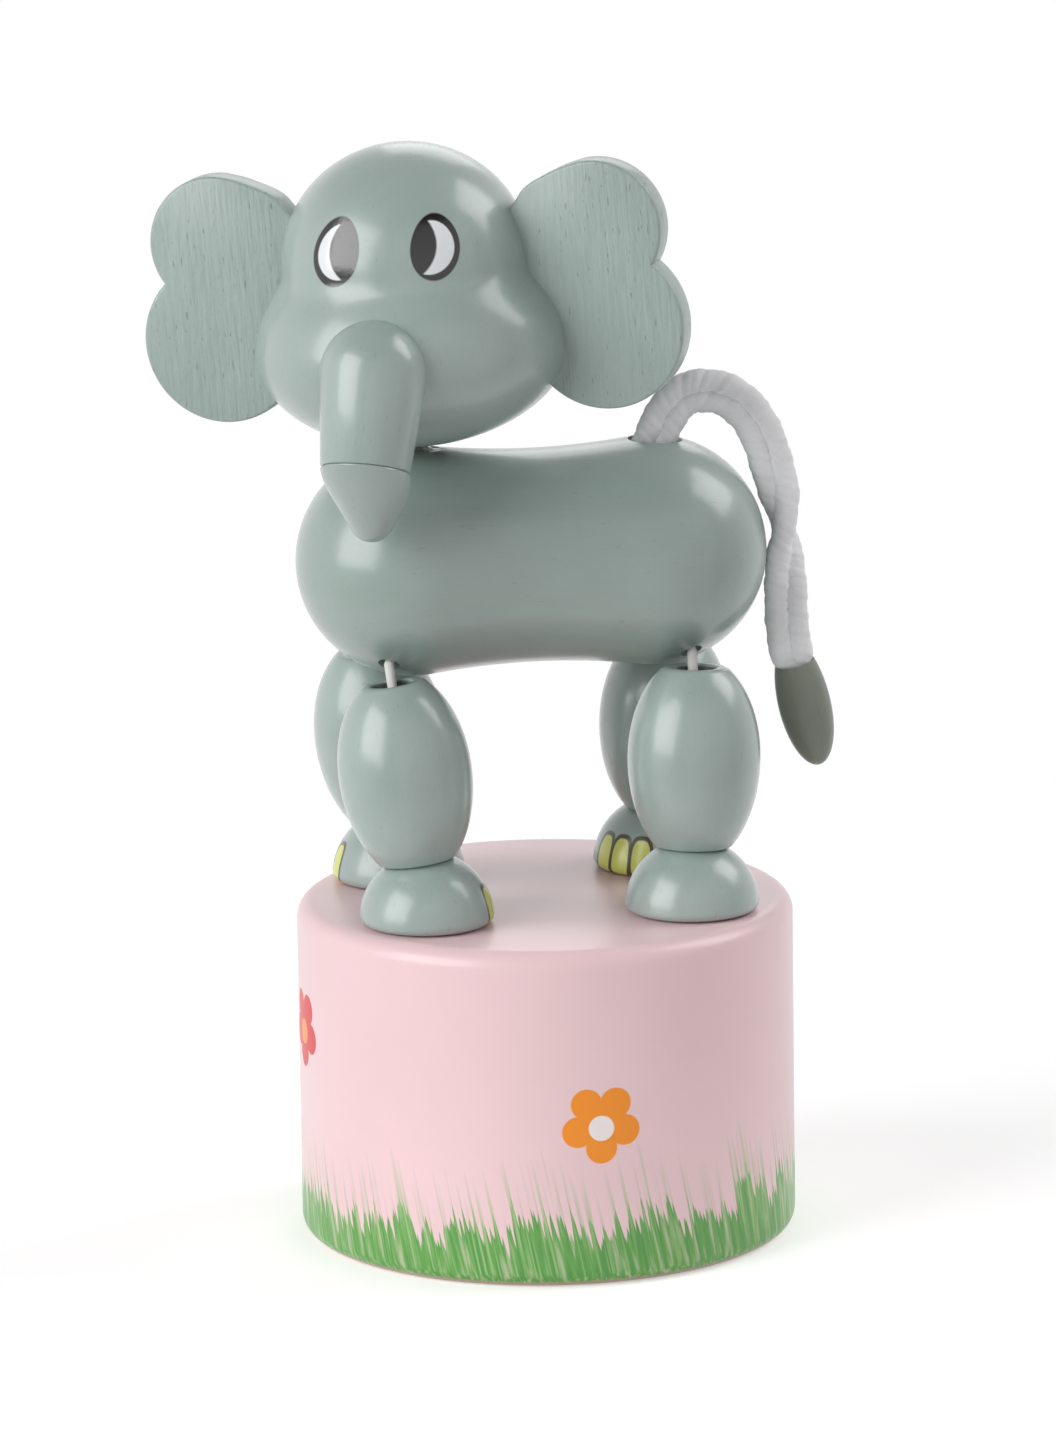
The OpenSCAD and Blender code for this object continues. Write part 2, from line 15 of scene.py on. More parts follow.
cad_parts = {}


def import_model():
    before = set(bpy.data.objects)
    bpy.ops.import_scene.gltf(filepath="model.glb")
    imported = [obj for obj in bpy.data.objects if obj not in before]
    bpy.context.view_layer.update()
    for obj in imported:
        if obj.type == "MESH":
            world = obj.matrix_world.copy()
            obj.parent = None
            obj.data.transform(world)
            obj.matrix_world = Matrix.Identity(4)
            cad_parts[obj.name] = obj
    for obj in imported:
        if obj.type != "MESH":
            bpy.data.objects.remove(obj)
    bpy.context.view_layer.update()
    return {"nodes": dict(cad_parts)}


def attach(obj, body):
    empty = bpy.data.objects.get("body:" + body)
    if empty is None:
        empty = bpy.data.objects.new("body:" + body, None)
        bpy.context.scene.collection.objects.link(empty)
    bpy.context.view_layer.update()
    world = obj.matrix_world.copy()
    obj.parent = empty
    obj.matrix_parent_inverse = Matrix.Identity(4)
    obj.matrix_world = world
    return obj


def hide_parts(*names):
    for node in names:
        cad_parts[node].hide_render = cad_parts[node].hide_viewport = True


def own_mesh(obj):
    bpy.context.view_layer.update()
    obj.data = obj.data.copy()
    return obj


LOG = logging.getLogger("push_puppet")
MM = 0.001
DRILL_SIDES = 40
KNOT_STEPS = 48
KNOT_RISE = 1.6
Pair = tuple[float, float]
Triple = tuple[float, float, float]
Colour = Triple
Profile = list[Pair]
Piece = bpy.types.Object
Material = bpy.types.Material
Socket = bpy.types.NodeSocket


class Corner(Enum):
    """The four places of the feet: ahead is -X, and the elephant's left is -Y."""

    FRONT_LEFT = (-1, -1)
    FRONT_RIGHT = (-1, 1)
    REAR_LEFT = (1, -1)
    REAR_RIGHT = (1, 1)

    @property
    def label(self) -> str:
        """The corner's name in the part's node names."""
        return self.name.lower()

    @property
    def ahead(self) -> bool:
        """Whether the corner is at the front."""
        return self.value[0] < 0

    @property
    def side(self) -> int:
        """-1 on the elephant's left, 1 on its right."""
        return self.value[1]


class Grain(Enum):
    """The direction of the wood's grain in a piece's own frame, as stretch factors."""

    ALONG_X = (0.09, 1.0, 1.0)
    ALONG_Y = (1.0, 0.09, 1.0)
    ALONG_Z = (1.0, 1.0, 0.09)

    def short(self, least: float) -> Triple:
        """The factors of marks that are shorter than the grain."""
        return tuple(max(factor, least) for factor in self.value)


def srgb(*channels: int) -> Colour:
    """Turns an eight-bit display colour, as red, green and blue, into a linear one."""
    shares = [value / 255 for value in channels]
    return tuple(s / 12.92 if s <= 0.04045 else ((s + 0.055) / 1.055) ** 2.4 for s in shares)


def shade(colour: Colour, factor: float) -> Colour:
    """A lighter or darker colour."""
    return colour[0] * factor, colour[1] * factor, colour[2] * factor


BEECH = srgb(214, 180, 138)


# ---------------------------------------------------------------- modelling


def only(piece: Piece) -> None:
    """Selects one object and makes it active."""
    bpy.ops.object.select_all(action="DESELECT")
    piece.select_set(True)
    bpy.context.view_layer.objects.active = piece


def linked(name: str, data: bpy.types.ID) -> Piece:
    """Makes an object of some data and links it into the scene."""
    thing = bpy.data.objects.new(name, data)
    bpy.context.collection.objects.link(thing)
    return thing


def mend_normals(piece: Piece) -> None:
    """Merges doubled points and turns all faces outwards.

    Args:
        piece: The piece to mend.
    """
    only(piece)
    bpy.ops.object.mode_set(mode="EDIT")
    bpy.ops.mesh.select_all(action="SELECT")
    bpy.ops.mesh.remove_doubles(threshold=1e-6)
    bpy.ops.mesh.normals_make_consistent(inside=False)
    bpy.ops.object.mode_set(mode="OBJECT")


def draw_outline(name: str, points: Sequence[Vector]) -> Piece:
    """Draws a chain of edges, one extruded point at a time, and stays in edit mode.

    Args:
        name: Name of the new object.
        points: The chain's points in metres.

    Returns:
        The object, with all its points selected.
    """
    bpy.ops.mesh.primitive_plane_add(size=MM)
    piece = bpy.context.object
    piece.name = name
    bpy.ops.object.mode_set(mode="EDIT")
    bpy.ops.mesh.select_mode(type="VERT")
    bpy.ops.mesh.select_all(action="SELECT")
    bpy.ops.mesh.merge(type="CENTER")
    bpy.ops.transform.translate(value=points[0])
    for before, after in zip(points, points[1:]):
        bpy.ops.mesh.extrude_vertices_move(TRANSFORM_OT_translate={"value": after - before})
    bpy.ops.mesh.select_all(action="SELECT")
    return piece


def turned(name: str, profile: Profile, steps: int = 96) -> Piece:
    """Turns a profile round the Z axis, as on a lathe.

    Args:
        name: Name of the new piece.
        profile: Radius and height of each point, in millimetres.
        steps: Number of steps round the axis.

    Returns:
        The turned piece, a closed solid.
    """
    piece = draw_outline(name, [Vector((r * MM, 0, z * MM)) for r, z in profile])
    bpy.ops.mesh.spin(steps=steps, angle=tau, center=(0, 0, 0), axis=(0, 0, 1))
    bpy.ops.object.mode_set(mode="OBJECT")
    mend_normals(piece)
    return piece


def put(piece: Piece, place: Matrix) -> Piece:
    """Moves a piece's mesh to its place, and leaves the object itself at the origin.

    Args:
        piece: The piece.
        place: Its place, in metres.

    Returns:
        The same piece.
    """
    piece.matrix_world = place
    only(piece)
    bpy.ops.object.transform_apply(location=True, rotation=True, scale=True)
    return piece


def drill(piece: Piece, start: Vector, end: Vector, radius: float) -> None:
    """Drills a round hole into a piece.

    Args:
        piece: The piece.
        start: One end of the hole's axis, in millimetres.
        end: The other end.
        radius: The hole's radius in millimetres.
    """
    along = end - start
    bpy.ops.mesh.primitive_cylinder_add(
        vertices=DRILL_SIDES, radius=radius * MM, depth=along.length * MM
    )
    bit = bpy.context.object
    turn = along.to_track_quat("Z", "Y").to_matrix().to_4x4()
    bit.matrix_world = Matrix.Translation((start + end) / 2 * MM) @ turn
    cut = piece.modifiers.new("drill", "BOOLEAN")
    cut.operation = "DIFFERENCE"
    cut.solver = "EXACT"
    cut.object = bit
    only(piece)
    bpy.ops.object.modifier_apply(modifier=cut.name)
    bpy.data.objects.remove(bit)


def drawn_tube(name: str, points: Sequence[Vector], radius: float, rounds: int = 3) -> Piece:
    """Draws a round tube along a line of points.

    Args:
        name: Name of the new piece.
        points: The line in millimetres.
        radius: The tube's radius in millimetres.
        rounds: Fineness of the tube's round section.

    Returns:
        The tube as a closed mesh.
    """
    line = bpy.data.curves.new(name, "CURVE")
    line.dimensions = "3D"
    line.bevel_depth = MM
    line.bevel_resolution = rounds
    line.use_fill_caps = True
    spline = line.splines.new("POLY")
    spline.points.add(len(points) - 1)
    for knot, point in zip(spline.points, points):
        knot.co = (*(point * MM), 1)
        knot.radius = radius
    only(linked(name, line))
    bpy.ops.object.convert(target="MESH")
    piece = bpy.context.object
    piece.name = name
    mend_normals(piece)
    return piece


def joined(pieces: Sequence[Piece]) -> Piece:
    """Joins pieces.

    Args:
        pieces: The pieces.

    Returns:
        The first of them, which holds them all.
    """
    only(pieces[0])
    for piece in pieces[1:]:
        piece.select_set(True)
    bpy.ops.object.join()
    return pieces[0]


def dress(
    piece: Piece, material: Material, body: str, node: str, sharp: float = 38
) -> None:
    """Shades a piece smooth, gives it its finish and says what it moves with and stands for.

    Args:
        piece: The finished piece.
        material: Its material.
        body: The body that it rides on.
        node: The node that it stands for.
        sharp: The angle in degrees from which an edge stays sharp.
    """
    only(piece)
    bpy.ops.object.shade_smooth_by_angle(angle=radians(sharp))
    piece.data.materials.clear()
    piece.data.materials.append(material)
    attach(piece, body)
    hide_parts(node)
    LOG.info("%s rides on %s, %d faces", piece.name, body, len(piece.data.polygons))


def arc(
    centre: Pair, radius: float, start: float, end: float, steps: int
) -> Profile:
    """Points on a circular arc.

    Args:
        centre: The arc's centre.
        radius: The arc's radius.
        start: First angle in degrees.
        end: Last angle in degrees.
        steps: Number of steps.

    Returns:
        The points, both ends among them.
    """
    angles = [radians(start + (end - start) * i / steps) for i in range(steps + 1)]
    return [(centre[0] + radius * cos(a), centre[1] + radius * sin(a)) for a in angles]


def round_profile(
    middle: float, half: float, steps: int, radius: Callable[[float], float]
) -> Profile:
    """A profile that starts and ends on the axis, with its finest steps there.

    Args:
        middle: Height of its middle.
        half: Half of its length.
        steps: Number of steps.
        radius: Gives the radius at a height.

    Returns:
        The profile.
    """
    heights = [middle - half * cos(pi * i / steps) for i in range(1, steps)]
    return [(0.0, middle - half), *((radius(z), z) for z in heights), (0.0, middle + half)]


def smooth_line(points: Sequence[Vector], parts: int) -> list[Vector]:
    """Runs a smooth curve through points.

    Args:
        points: The points that it passes.
        parts: Number of steps between two points.

    Returns:
        The curve's points.
    """
    ends = [points[0] * 2 - points[1], *points, points[-1] * 2 - points[-2]]
    line = []
    for a, b, c, d in zip(ends, ends[1:], ends[2:], ends[3:]):
        square, cube = 2 * a - 5 * b + 4 * c - d, 3 * b - a - 3 * c + d
        for t in (i / parts for i in range(parts)):
            line.append(0.5 * (2 * b + (c - a) * t + square * t**2 + cube * t**3))
    return [*line, points[-1].copy()]


def knot_line(middle: Vector, radius: float) -> list[Vector]:
    """The line of a simple closed knot round a point.

    Args:
        middle: The knot's middle in millimetres.
        radius: The knot's outer reach along its line.

    Returns:
        The line's points.
    """
    points = []
    for i in range(KNOT_STEPS + 1):
        t = tau * i / KNOT_STEPS
        x, y = sin(t) + 2 * sin(2 * t), cos(t) - 2 * cos(2 * t)
        points.append(middle + Vector((x, y, -KNOT_RISE * sin(3 * t))) * radius / 3)
    return points


# ---------------------------------------------------------------- finishes


class Num:
    """A number in a tree of shader nodes, for plain arithmetic."""

    def __init__(self, wires: Wiring, socket: Socket) -> None:
        """Takes the tree and the number's socket."""
        self.wires = wires
        self.socket = socket

    def __add__(self, other: Num | float) -> Num:
        """The sum."""
        return self.wires.calc("ADD", self, other)

    def __sub__(self, other: Num | float) -> Num:
        """The difference."""
        return self.wires.calc("SUBTRACT", self, other)

    def __rsub__(self, other: float) -> Num:
        """What is left of a plain number."""
        return self.wires.calc("SUBTRACT", other, self)

    def __mul__(self, other: Num | float) -> Num:
        """The product."""
        return self.wires.calc("MULTIPLY", self, other)

    def __truediv__(self, other: float) -> Num:
        """The ratio."""
        return self.wires.calc("DIVIDE", self, other)

    def __pow__(self, other: float) -> Num:
        """The power."""
        return self.wires.calc("POWER", self, other)

    def ramp(self, low: float, high: float, start: float = 0.0, end: float = 1.0) -> Num:
        """Runs from start to end as the number goes from low to high, and no further."""
        inputs = [(0, self), (1, low), (2, high), (3, start), (4, end)]
        return Num(self.wires, self.wires.add("ShaderNodeMapRange", inputs, clamp=True).outputs[0])


class Wiring:
    """A tree of shader nodes, with short calls to add to it."""

    def __init__(self, tree: bpy.types.NodeTree) -> None:
        """Takes the tree that is added to."""
        self.tree = tree

    def add(
        self, kind: str, inputs: Sequence[tuple[Any, Any]] = (), **settings: Any
    ) -> bpy.types.Node:
        """Adds a node.

        Args:
            kind: The node's type.
            inputs: Pairs of an input's name or number and its value or socket.
            settings: The node's own settings.

        Returns:
            The node.
        """
        node = self.tree.nodes.new(kind)
        for key, value in settings.items():
            setattr(node, key, value)
        for key, value in inputs:
            self.feed(node.inputs[key], value)
        return node

    def feed(self, socket: Socket, value: Any) -> None:
        """Links a number or socket into an input, or sets the input's value.

        Args:
            socket: The input.
            value: What it takes.
        """
        if isinstance(value, Num):
            value = value.socket
        if isinstance(value, Socket):
            self.tree.links.new(value, socket)
        elif socket.type == "RGBA" and len(value) == 3:
            socket.default_value = (*value, 1.0)
        else:
            socket.default_value = value

    def calc(self, kind: str, a: Any, b: Any = 0.0, c: Any = 0.0) -> Num:
        """One step of arithmetic, such as MAXIMUM or WRAP."""
        inputs = [(0, a), (1, b), (2, c)]
        return Num(self, self.add("ShaderNodeMath", inputs, operation=kind).outputs[0])

    def axes(self, vector: Socket) -> list[Num]:
        """The three numbers of a vector."""
        return [Num(self, out) for out in self.add("ShaderNodeSeparateXYZ", [(0, vector)]).outputs]

    def far(self, a: Num, b: Num) -> Num:
        """Length of a flat vector."""
        return self.calc("SQRT", a * a + b * b)


class Graph(Wiring):
    """The shader nodes of one material."""

    def __init__(self, name: str) -> None:
        """Makes an empty material of that name."""
        self.material = bpy.data.materials.new(name)
        self.material.use_nodes = True
        super().__init__(self.material.node_tree)
        self.shader = self.tree.nodes["Principled BSDF"]

    def place(self, place: Matrix | None = None) -> Socket:
        """A piece's own coordinates in millimetres.

        Args:
            place: The piece's place, with its shift in metres.

        Returns:
            The coordinates.
        """
        inverse = (place or Matrix.Identity(4)).inverted()
        settings = [
            ("Vector", self.add("ShaderNodeTexCoord").outputs["Object"]),
            ("Location", inverse.translation / MM),
            ("Rotation", inverse.to_euler("XYZ")),
            ("Scale", (1 / MM, 1 / MM, 1 / MM)),
        ]
        return self.add("ShaderNodeMapping", settings, vector_type="POINT").outputs[0]

    def noise(
        self, vector: Socket, scale: float, detail: float, stretch: Sequence[float] | None = None
    ) -> Num:
        """Noise with about that many blots for each millimetre.

        Args:
            vector: The coordinates.
            scale: Number of blots.
            detail: Number of finer layers.
            stretch: A factor of the coordinates for each axis.

        Returns:
            The noise, from 0 to 1.
        """
        if stretch:
            inputs = [(0, vector), (1, stretch)]
            vector = self.add("ShaderNodeVectorMath", inputs, operation="MULTIPLY").outputs[0]
        inputs = [("Vector", vector), ("Scale", scale), ("Detail", detail)]
        return Num(self, self.add("ShaderNodeTexNoise", inputs).outputs[0])

    def mix(self, share: Any, a: Any, b: Any) -> Socket:
        """Mixes two colours."""
        return self.add("ShaderNodeMix", [(0, share), (6, a), (7, b)], data_type="RGBA").outputs[2]

    def bump(self, height: Num, strength: float, depth: float) -> None:
        """Gives the surface relief of a strength, with its depth in millimetres."""
        inputs = [("Height", height), ("Strength", strength), ("Distance", depth * MM)]
        self.feed(self.shader.inputs["Normal"], self.add("ShaderNodeBump", inputs).outputs[0])

    def set(self, **values: Any) -> None:
        """Sets or links inputs of the surface shader, with _ for spaces in their names."""
        for key, value in values.items():
            self.feed(self.shader.inputs[key.replace("_", " ")], value)


@dataclass(frozen=True)
class Paint:
    """Paint over turned wood: the grain and its pores show through a little."""

    name: str
    colour: Colour
    roughness: float = 0.42
    coat: float = 0.9
    coat_roughness: float = 0.2
    grain: float = 0.5
    pores: float = 0.25
    peel: float = 0.5
    relief: float = 0.12
    cloud_scale: float = 0.09
    fibre_scale: float = 2.6
    pore_scale: float = 3.4
    pore_stretch: float = 0.22
    peel_scale: float = 0.8
    dull: float = 0.94
    bright: float = 1.05
    streak: float = 0.72
    pit: float = 0.6
    # hollow: colour factor of the painted shade inside a bore
    hollow: float = 0.2

    def graph(self, label: str, place: Matrix) -> tuple[Graph, Socket, Socket]:
        """Starts the material of one painted piece, with the grain along its axis.

        Args:
            label: The piece's name.
            place: The piece's place.

        Returns:
            The graph, the paint's colour and the piece's own coordinates.
        """
        graph, grain = Graph(f"{self.name}_{label}"), Grain.ALONG_Z
        own = graph.place(place)
        cloud = graph.noise(own, self.cloud_scale, 3.0)
        fibre = graph.noise(own, self.fibre_scale, 3.0, grain.value)
        pore = graph.noise(own, self.pore_scale, 1.0, grain.short(self.pore_stretch)).ramp(0.69, 0.77)
        pitted = pore * self.pores
        dull, bright = shade(self.colour, self.dull), shade(self.colour, self.bright)
        colour = graph.mix(cloud.ramp(0.3, 0.7), dull, bright)
        streaks = fibre.ramp(0.42, 0.72, 0.0, 0.16 * self.grain)
        colour = graph.mix(streaks, colour, shade(self.colour, self.streak))
        colour = graph.mix(pitted, colour, shade(self.colour, self.pit))
        peel = graph.noise(own, self.peel_scale, 2.0) * self.peel
        graph.bump(fibre * (0.35 * self.grain) - pitted + peel, 0.5, self.relief)
        graph.set(
            Base_Color=colour,
            Roughness=cloud.ramp(0.25, 0.75, self.roughness - 0.04, self.roughness + 0.05),
            Coat_Weight=self.coat,
            Coat_Roughness=self.coat_roughness,
        )
        return graph, colour, own

    def material(self, label: str, place: Matrix) -> Material:
        """The plain painted material of one piece."""
        return self.graph(label, place)[0].material

    def bored(self, label: str, place: Matrix, bore_r: float) -> Material:
        """The material of a piece with painted shade darkening the bore along its axis.

        Args:
            label: The piece's name.
            place: The piece's place.
            bore_r: Radius of its bore in millimetres.

        Returns:
            The material.
        """
        graph, colour, own = self.graph(label, place)
        x, y, _ = graph.axes(own)
        # Painted shade: darkens the bore's inside, where shadow falls in the hole.
        inside = graph.far(x, y).ramp(bore_r + 0.12, bore_r + 0.03)
        graph.set(Base_Color=graph.mix(inside, colour, shade(self.colour, self.hollow)))
        return graph.material


@dataclass(frozen=True)
class Eye:
    """A painted egg with a pale crescent on its outer side, as angle and height on the crown.

    The pupil's lift, width and height and the crescent's middle, width and height are shares of it.
    """

    angle: float
    height: float
    half_angle: float
    half_height: float
    lean: float
    side: int
    dark: float
    pupil: Triple = (0.12, 1.5, 1.15)
    crescent: Triple = (-0.18, 0.94, 0.8)
    edge: Pair = (1.03, 0.98)

    def masks(self, graph: Graph, angle: Num, height: Num) -> tuple[Num, Num]:
        """The places of the egg and of its crescent.

        Args:
            graph: The head's material.
            angle: Angle round the head in degrees.
            height: Height in millimetres.

        Returns:
            The egg's and the crescent's share.
        """
        up = height - self.height
        out = (angle - self.angle - up * self.lean) * (self.side / self.half_angle)
        rise = up / self.half_height

        def oval(middle: float, lift: float, wide: float, tall: float) -> Num:
            """Share of an upright oval."""
            return graph.far((out - middle) / wide, (rise - lift) / tall).ramp(*self.edge)

        egg = graph.far(out, rise).ramp(*self.edge)
        lift, wide, tall = self.pupil
        pupil = oval(self.dark - wide, lift, wide, tall)
        middle, wide, tall = self.crescent
        return egg, oval(middle, 0.0, wide, tall) * (1.0 - pupil) * egg


@dataclass(frozen=True)
class FacePaint:
    """The head's paint, with two glossy eyes."""

    paint: Paint
    black: Colour = srgb(14, 14, 12)
    white: Colour = srgb(238, 242, 244)
    eye_roughness: float = 0.14
    eyes: tuple[Eye, ...] = (
        Eye(-17.0, 21.4, 13.0, 3.35, 0.36, -1, 0.24),
        Eye(32.6, 21.3, 12.1, 3.2, 0.55, 1, 0.04),
    )

    def material(self, place: Matrix) -> Material:
        """The head's material.

        Args:
            place: The head's place.

        Returns:
            The material.
        """
        graph, colour, own = self.paint.graph("head", place)
        x, y, z = graph.axes(own)
        angle = graph.calc("DEGREES", graph.calc("ARCTAN2", y * -1.0, x * -1.0))
        gloss: Any = 0.0
        for eye in self.eyes:
            egg, crescent = eye.masks(graph, angle, z)
            colour = graph.mix(crescent, graph.mix(egg, colour, self.black), self.white)
            gloss = graph.calc("MAXIMUM", egg, gloss)
        roughness = gloss.ramp(0.0, 1.0, self.paint.roughness, self.eye_roughness)
        graph.set(Base_Color=colour, Roughness=roughness)
        return graph.material


@dataclass(frozen=True)
class NailPaint:
    """A foot's paint with three outlined toenails side by side."""

    paint: Paint
    nail: Colour = srgb(214, 221, 98)
    line: Colour = srgb(66, 62, 44)
    foot_r: float = 6.75
    wide: float = 1.03
    tall: float = 2.0
    middle: float = 1.7
    pitch: float = 2.5
    outline: float = 0.4
    squareness: float = 3.2

    def material(self, label: str, place: Matrix, facing: float) -> Material:
        """The material of one foot.

        Args:
            label: The foot's name.
            place: The foot's place.
            facing: Direction of the middle nail round the foot, in degrees.

        Returns:
            The material.
        """
        graph, colour, own = self.paint.graph(label, place)
        x, y, z = graph.axes(own)
        angle = graph.calc("ARCTAN2", y, x) - radians(facing)
        along = graph.calc("WRAP", angle, pi, -pi) * self.foot_r
        step = graph.calc("ROUND", along / self.pitch)
        step = graph.calc("MAXIMUM", graph.calc("MINIMUM", step, 1.0), -1.0)
        aside = graph.calc("ABSOLUTE", along - step * self.pitch)
        up = graph.calc("ABSOLUTE", z - self.middle)

        def block(extra: float) -> Num:
            """Share of a nail with soft corners, wider by an extra amount."""
            across = (aside / (self.wide + extra)) ** self.squareness
            return (across + (up / (self.tall + extra)) ** self.squareness).ramp(1.1, 0.92)

        colour = graph.mix(block(self.outline), colour, self.line)
        graph.set(Base_Color=graph.mix(block(0.0), colour, self.nail))
        return graph.material


@dataclass(frozen=True)
class Flower:
    """A plain flower of five round petals, painted twice, half a turn apart."""

    angle: float
    height: float
    petals: Colour
    centre: Colour
    count: int = 5
    reach: float = 2.49
    petal_r: float = 1.58
    centre_r: float = 1.29
    centre_drop: float = 0.47
    soft: float = 0.05
    overlap: float = 0.2

    def paint_on(self, graph: Graph, colour: Socket, angle: Num, height: Num, drum_r: float) -> Socket:
        """Paints the flower over a colour.

        Args:
            graph: The drum's material.
            colour: The colour below it.
            angle: Angle round the drum in radians.
            height: Height in millimetres.
            drum_r: The drum's radius.

        Returns:
            The painted colour.
        """
        turn = graph.calc("WRAP", angle - radians(self.angle), pi / 2, -pi / 2)
        aside, up = turn * drum_r, height - self.height
        out = graph.far(aside, up)
        share = pi / self.count
        folded = graph.calc("WRAP", graph.calc("ARCTAN2", aside, up * -1.0), share, -share)
        ahead = out * graph.calc("COSINE", folded) - self.reach
        across = out * graph.calc("SINE", folded)

        def disc(distance: Num, radius: float) -> Num:
            """Share of a round spot."""
            return distance.ramp(radius + self.soft, radius - self.soft)

        petal = disc(graph.far(ahead, across), self.petal_r)
        petal = graph.calc("MAXIMUM", petal, out.ramp(self.reach, self.reach - self.overlap))
        middle = disc(graph.far(aside, up + self.centre_drop), self.centre_r)
        return graph.mix(middle, graph.mix(petal, colour, self.petals), self.centre)


@dataclass(frozen=True)
class DrumPaint:
    """Glossy pink paint with flowers and a border of brushed grass, bare wood inside and below."""

    pink: Colour = srgb(246, 212, 216)
    grass: Colour = srgb(112, 176, 86)
    deep: Colour = srgb(86, 156, 70)
    pale: Colour = srgb(178, 210, 146)
    edge: Colour = srgb(186, 158, 132)
    bare: Colour = BEECH
    roughness: float = 0.34
    bare_roughness: float = 0.6
    coat: float = 0.15
    coat_roughness: float = 0.16
    blade_lean: float = 0.0085
    grass_h: float = 6.6
    clump_h: float = 7.0
    blade_h: float = 8.0
    hair_h: float = 9.0
    flowers: tuple[Flower, ...] = (
        Flower(-86.75, 16.8, srgb(255, 150, 12), srgb(252, 242, 240)),
        Flower(-175.7, 22.3, srgb(222, 8, 14), srgb(250, 146, 46)),
    )

    def material(self, drum_r: float, hollow_r: float, hollow_h: float) -> Material:
        """The drum's material.

        Args:
            drum_r: The drum's radius in millimetres.
            hollow_r: Radius of its hollow.
            hollow_h: Height of its hollow.

        Returns:
            The material.
        """
        graph = Graph("drum_paint")
        own = graph.place()
        x, y, z = graph.axes(own)
        angle = graph.calc("ARCTAN2", y, x)
        cloud = graph.noise(own, 0.06, 3.0).ramp(0.3, 0.7)
        colour = graph.mix(cloud, shade(self.pink, 0.97), shade(self.pink, 1.02))
        colour = self.brushed_grass(graph, own, z, colour)
        for flower in self.flowers:
            colour = flower.paint_on(graph, colour, angle, z, drum_r)
        colour = graph.mix(z.ramp(0.75, 0.45), colour, self.edge)
        fibre = graph.noise(own, 1.6, 4.0, Grain.ALONG_X.value)
        wood = graph.mix(fibre.ramp(0.35, 0.7), self.bare, shade(self.bare, 0.72))
        walled = graph.far(x, y).ramp(hollow_r + 0.5, hollow_r + 0.3)
        inside = walled * z.ramp(hollow_h + 0.4, hollow_h + 0.2)
        inside = graph.calc("MAXIMUM", inside, z.ramp(0.1, 0.04))
        graph.set(
            Base_Color=graph.mix(inside, colour, wood),
            Roughness=inside.ramp(0.0, 1.0, self.roughness, self.bare_roughness),
            Coat_Weight=self.coat,
            Coat_Roughness=self.coat_roughness,
        )
        graph.bump(graph.noise(own, 1.1, 3.0) * 0.25 + fibre * 0.2, 0.25, 0.1)
        return graph.material

    def brushed_grass(self, graph: Graph, own: Socket, z: Num, colour: Socket) -> Socket:
        """Brushes leaning blades of grass up from the drum's lower edge.

        Args:
            graph: The drum's material.
            own: Coordinates in millimetres.
            z: Height in millimetres.
            colour: The colour below the grass.

        Returns:
            The painted colour.
        """
        inputs = [("Vector", own), ("Angle", z * self.blade_lean)]
        lean = graph.add("ShaderNodeVectorRotate", inputs, rotation_type="Z_AXIS").outputs[0]
        clump = graph.noise(lean, 1.0, 1.0, (0.22, 0.22, 0.01))
        blade = graph.noise(lean, 1.0, 2.0, (1.1, 1.1, 0.03))
        hair = graph.noise(lean, 1.0, 1.0, (2.8, 2.8, 0.05))
        tint = graph.noise(lean, 1.0, 2.0, (1.7, 1.7, 0.16))
        top = (clump - 0.5) * self.clump_h + self.grass_h
        below = top + (blade - 0.5) * self.blade_h + (hair - 0.5) * self.hair_h - z
        thin = tint.ramp(0.3, 0.46, 0.62, 1.0) * below.ramp(-0.25, 0.35)
        wisp = below.ramp(-5.0, 0.0) * hair.ramp(0.5, 0.66, 0.0, 0.55)
        green = graph.mix(tint.ramp(0.38, 0.62), self.grass, self.deep)
        green = graph.mix(hair.ramp(0.52, 0.72, 0.0, 0.65), green, self.pale)
        return graph.mix(graph.calc("MAXIMUM", thin, wisp), colour, green)


@dataclass(frozen=True)
class BareWood:
    """Plain sanded beech with short dark flecks."""

    colour: Colour = BEECH
    fleck_stretch: float = 0.3

    def material(self, label: str, grain: Grain) -> Material:
        """The material of one bare piece.

        Args:
            label: The piece's name.
            grain: Direction of its grain.

        Returns:
            The material.
        """
        graph = Graph(f"beech_{label}")
        own = graph.place()
        fibre = graph.noise(own, 1.5, 4.0, grain.value)
        fleck = graph.noise(own, 2.4, 1.0, grain.short(self.fleck_stretch)).ramp(0.62, 0.72)
        colour = graph.mix(fibre.ramp(0.35, 0.7), self.colour, shade(self.colour, 0.74))
        colour = graph.mix(fleck * 0.5, colour, shade(self.colour, 0.45))
        graph.set(Base_Color=colour, Roughness=fibre.ramp(0.3, 0.7, 0.5, 0.64))
        graph.bump(fibre, 0.4, 0.12)
        return graph.material


@dataclass(frozen=True)
class SpringSteel:
    """Drawn steel wire with fine draw marks."""

    colour: Colour = (0.56, 0.57, 0.59)

    def material(self) -> Material:
        """Makes the wire's material.

        Returns:
            The material.
        """
        graph = Graph("spring_steel")
        marks = graph.noise(graph.place(), 1.6, 3.0, (0.6, 0.6, 9.0))
        graph.set(
            Base_Color=graph.mix(marks.ramp(0.35, 0.65), self.colour, shade(self.colour, 0.8)),
            Metallic=1.0,
            Roughness=marks.ramp(0.3, 0.7, 0.22, 0.36),
        )
        graph.bump(marks, 0.3, 0.03)
        return graph.material


